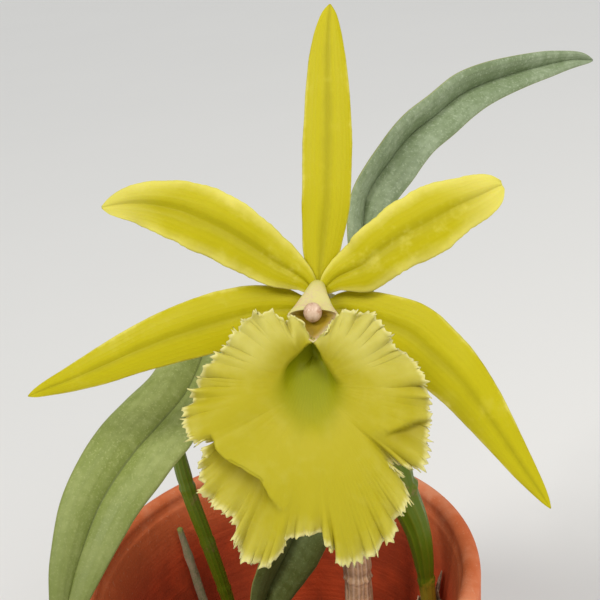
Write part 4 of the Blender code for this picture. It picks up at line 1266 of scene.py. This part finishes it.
def build_lip(look):
    margin = Margin(look.fringe / MM)
    columns, rows = ((1430, 31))
    piece, around, grown = grid("lip_fringed", columns, rows,
                                lambda around, grown: lip_surface(margin, around, grown))
    tone_lip(piece, margin, around, grown, read_points(piece))
    edit(piece, lambda: bpy.ops.mesh.remove_doubles(threshold=0.002))
    fringe = np.empty(len(piece.data.vertices), dtype=np.float32)
    piece.data.attributes["fringe"].data.foreach_get("value", fringe)
    thicken(piece, 0.7, 1.0 - 0.6 * fringe)
    join_claw(piece)
    settle(piece, in_flower=True)
    return finish_piece(piece, lip_material(look), "lip", "lip")


# ---------------------------------------------------------------- column

COLUMN_LINE = [(0.0, 3.4, -2.5), (-0.3, 3.6, 4.0), (-0.9, 1.4, 12.0), (-1.6, -2.2, 19.0),
               (-1.8, -4.2, 23.5)]
COLUMN_WIDTH = [(0, 2.4), (0.3, 2.7), (0.55, 3.7), (0.8, 5.6), (1, 7.4)]
COLUMN_ROOF = [(0, 2.6), (0.5, 2.6), (1, 1.7)]
COLUMN_KEEL = [(0, 2.6), (0.35, 3.4), (0.7, 6.2), (1, 8.2)]


def build_column(look):
    """A winged column whose front is a kite-shaped hollow with a rim."""
    front_at = 0.74
    points = smooth_path(COLUMN_LINE, 121)

    def place(around, up):
        body = np.clip(up / front_at, 0.0, 1.0)
        inner = np.clip((up - front_at) / (1.0 - front_at), 0.0, 1.0)
        turn = math.tau * around
        width = along(COLUMN_WIDTH, body)
        roof, keel = along(COLUMN_ROOF, body), along(COLUMN_KEEL, body)
        rise = np.cos(turn)
        kite = 1.0 - 0.24 * body * np.abs(np.sin(2 * turn)) * (rise < 0)
        shrink = np.where(inner < 0.25, 1.0 - 0.55 * inner, 0.8625 * (1.0 - inner) / 0.75)
        start = np.minimum(body / 0.06, 1.0) ** 0.5
        flat_u = width * np.sin(turn) * kite * shrink * start
        flat_v = np.where(rise > 0, roof, keel) * rise * kite * shrink * start
        centre = [np.interp(body, np.linspace(0, 1, 121), points[:, k]) for k in range(3)]
        hollow = 1.1 * np.sin(np.clip(inner / 0.2, 0, 1) * np.pi) - 4.2 * np.clip(
            (inner - 0.15) / 0.85, 0, 1) ** 0.8 * (1.0 - 0.75 * (rise > 0) * (1 - inner))
        lean = -0.16 * flat_v * body
        return np.column_stack([centre[0] + flat_u, centre[1] + flat_v,
                                centre[2] + hollow + lean])

    piece, _, _ = grid("column_winged", 64, 80, place)
    weld(piece, 0.003)
    settle(piece, in_flower=True)
    finish_piece(piece, column_material(look), "column", "column")


def build_anther(look):
    """The anther cap: a small two-lobed dome with a groove down its middle."""
    select()
    bpy.ops.mesh.primitive_uv_sphere_add(segments=40, ring_count=24, radius=1.0)
    cap = bpy.context.active_object
    cap.name = cap.data.name = "anther_cap_lobes"
    points = read_points(cap)
    groove = 1.0 - 0.20 * np.exp(-(points[:, 0] / 0.22) ** 2) * (points[:, 2] > 0)
    shaped = points * np.array([2.7, 2.9, 2.0]) * groove[:, None]
    shaped[:, 2] -= 0.10 * shaped[:, 1] ** 2 * (shaped[:, 1] < 0)
    write_points(cap, shaped + np.array([-1.9, -3.5, 23.9]))
    settle(cap, in_flower=True)
    finish_piece(cap, anther_material(look), "anther_cap", "anther")


# ---------------------------------------------------------------- stage

CAMERA_PLACE = (24.0, -310.0, 408.5)
SENSOR_WIDTH = 36.0


def add_light(name, kind, place, target, power, tint, **values):
    light = bpy.data.lights.new(name, kind)
    light.energy = power
    light.color = tint
    for key, value in values.items():
        setattr(light, key, value)
    lamp = bpy.data.objects.new(name, light)
    lamp.location = place
    lamp.rotation_euler = (Vector(target) - Vector(place)).to_track_quat('-Z', 'Y').to_euler()
    bpy.context.scene.collection.objects.link(lamp)


def build_stage(look):
    select()
    bpy.ops.mesh.primitive_plane_add(size=8.0)
    floor = bpy.context.active_object
    floor.name = floor.data.name = "floor"
    floor.data.materials.append(floor_material(look))
    target = (POT_AXIS[0], POT_AXIS[1], 0.2)
    add_light("window_light", 'SUN', (-0.8, -0.85, 1.5), target, 1.4, (1.0, 0.98, 0.95),
              angle=math.radians(16.0))
    add_light("front_fill", 'AREA', (0.45, -0.7, 1.25), target, 9.0, (1.0, 0.97, 0.93), size=0.8)
    bpy.context.scene.view_settings.view_transform = 'Standard'
    world = bpy.data.worlds.new("studio")
    bpy.context.scene.world = world
    world.use_nodes = True
    sky = world.node_tree.nodes["Background"]
    sky.inputs["Color"].default_value = (0.93, 0.96, 1.0, 1.0)
    sky.inputs["Strength"].default_value = 0.5
    lens = bpy.data.cameras.new("camera")
    camera = bpy.data.objects.new("camera", lens)
    lens.sensor_width = SENSOR_WIDTH
    lens.lens = SENSOR_WIDTH / 2 / math.tan(look.view_angle / 2)
    lens.clip_start = 0.01
    place = Vector(CAMERA_PLACE) * MM + Vector((POT_AXIS[0], POT_AXIS[1], 0.0))
    aim = Matrix.Rotation(math.pi / 2 - look.look_down, 4, 'X') @ Matrix.Rotation(
        -look.tilt, 4, 'Z')
    camera.matrix_world = Matrix.Translation(place) @ aim
    bpy.context.scene.collection.objects.link(camera)
    bpy.context.scene.camera = camera


# ---------------------------------------------------------------- operators

class ORCHID_OT_stage(bpy.types.Operator):
    """Lay the floor and set up the lights and the camera"""
    bl_idname = "orchid.stage"
    bl_label = "Stage"

    def execute(self, context):
        build_stage(context.scene.orchid_stage)
        return {'FINISHED'}


class ORCHID_OT_pot(bpy.types.Operator):
    """Turn the terracotta pot"""
    bl_idname = "orchid.pot"
    bl_label = "Pot"

    def execute(self, context):
        build_pot(context.scene.orchid_pot)
        return {'FINISHED'}


class ORCHID_OT_bark(bpy.types.Operator):
    """Fill the pot with chips of bark"""
    bl_idname = "orchid.bark"
    bl_label = "Potting bark"

    def execute(self, context):
        build_chips(context.scene.orchid_pot)
        return {'FINISHED'}


class ORCHID_OT_roots(bpy.types.Operator):
    """Grow the rhizome and its roots"""
    bl_idname = "orchid.roots"
    bl_label = "Rhizome and roots"

    def execute(self, context):
        build_roots(context.scene.orchid_plant, context.scene.orchid_pot)
        return {'FINISHED'}


class ORCHID_OT_stems(bpy.types.Operator):
    """Grow the pseudobulbs, the young growth and the flower's stalk"""
    bl_idname = "orchid.stems"
    bl_label = "Pseudobulbs and stalk"

    def execute(self, context):
        build_stems(context.scene.orchid_plant)
        return {'FINISHED'}


class ORCHID_OT_sheaths(bpy.types.Operator):
    """Wrap the stems in their papery sheaths"""
    bl_idname = "orchid.sheaths"
    bl_label = "Sheaths"

    def execute(self, context):
        build_sheaths(context.scene.orchid_plant)
        return {'FINISHED'}


class ORCHID_OT_leaves(bpy.types.Operator):
    """Grow the three leathery leaves"""
    bl_idname = "orchid.leaves"
    bl_label = "Leaves"

    def execute(self, context):
        build_leaves(context.scene.orchid_plant)
        return {'FINISHED'}


class ORCHID_OT_sepals(bpy.types.Operator):
    """Shape the three sepals"""
    bl_idname = "orchid.sepals"
    bl_label = "Sepals"

    def execute(self, context):
        build_sepals(context.scene.orchid_flower)
        return {'FINISHED'}


class ORCHID_OT_petals(bpy.types.Operator):
    """Shape the two petals"""
    bl_idname = "orchid.petals"
    bl_label = "Petals"

    def execute(self, context):
        build_petals(context.scene.orchid_flower)
        return {'FINISHED'}


class ORCHID_OT_lip(bpy.types.Operator):
    """Shape the fringed lip"""
    bl_idname = "orchid.lip"
    bl_label = "Fringed lip"

    def execute(self, context):
        build_lip(context.scene.orchid_flower)
        return {'FINISHED'}


class ORCHID_OT_column(bpy.types.Operator):
    """Shape the column and its anther cap"""
    bl_idname = "orchid.column"
    bl_label = "Column"

    def execute(self, context):
        build_column(context.scene.orchid_flower)
        build_anther(context.scene.orchid_flower)
        return {'FINISHED'}


STEPS = (ORCHID_OT_stage, ORCHID_OT_pot, ORCHID_OT_bark, ORCHID_OT_roots, ORCHID_OT_stems,
         ORCHID_OT_sheaths, ORCHID_OT_leaves, ORCHID_OT_sepals, ORCHID_OT_petals, ORCHID_OT_lip,
         ORCHID_OT_column)


class ORCHID_PT_panel(bpy.types.Panel):
    """Lists the settings and the steps that build the orchid"""
    bl_idname = "ORCHID_PT_panel"
    bl_label = "Potted Orchid"
    bl_space_type = 'VIEW_3D'
    bl_region_type = 'UI'
    bl_category = "Orchid"

    def draw(self, context):
        for group in SETTINGS:
            box = self.layout.box()
            for name in SETTINGS[group].__annotations__:
                box.prop(getattr(context.scene, group), name)
        for step in STEPS:
            self.layout.operator(step.bl_idname)


SETTINGS = {"orchid_pot": PotSettings, "orchid_plant": PlantSettings,
            "orchid_flower": FlowerSettings, "orchid_stage": StageSettings}
CLASSES = (*SETTINGS.values(), *STEPS, ORCHID_PT_panel)


def register():
    for kind in CLASSES:
        bpy.utils.register_class(kind)
    for name, kind in SETTINGS.items():
        setattr(bpy.types.Scene, name, PointerProperty(type=kind))


def unregister():
    for name in SETTINGS:
        delattr(bpy.types.Scene, name)
    for kind in reversed(CLASSES):
        bpy.utils.unregister_class(kind)


def main():
    register()
    for step in STEPS:
        group, name = step.bl_idname.split(".")
        getattr(getattr(bpy.ops, group), name)()
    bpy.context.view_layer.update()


if __name__ == "__main__":
    main()
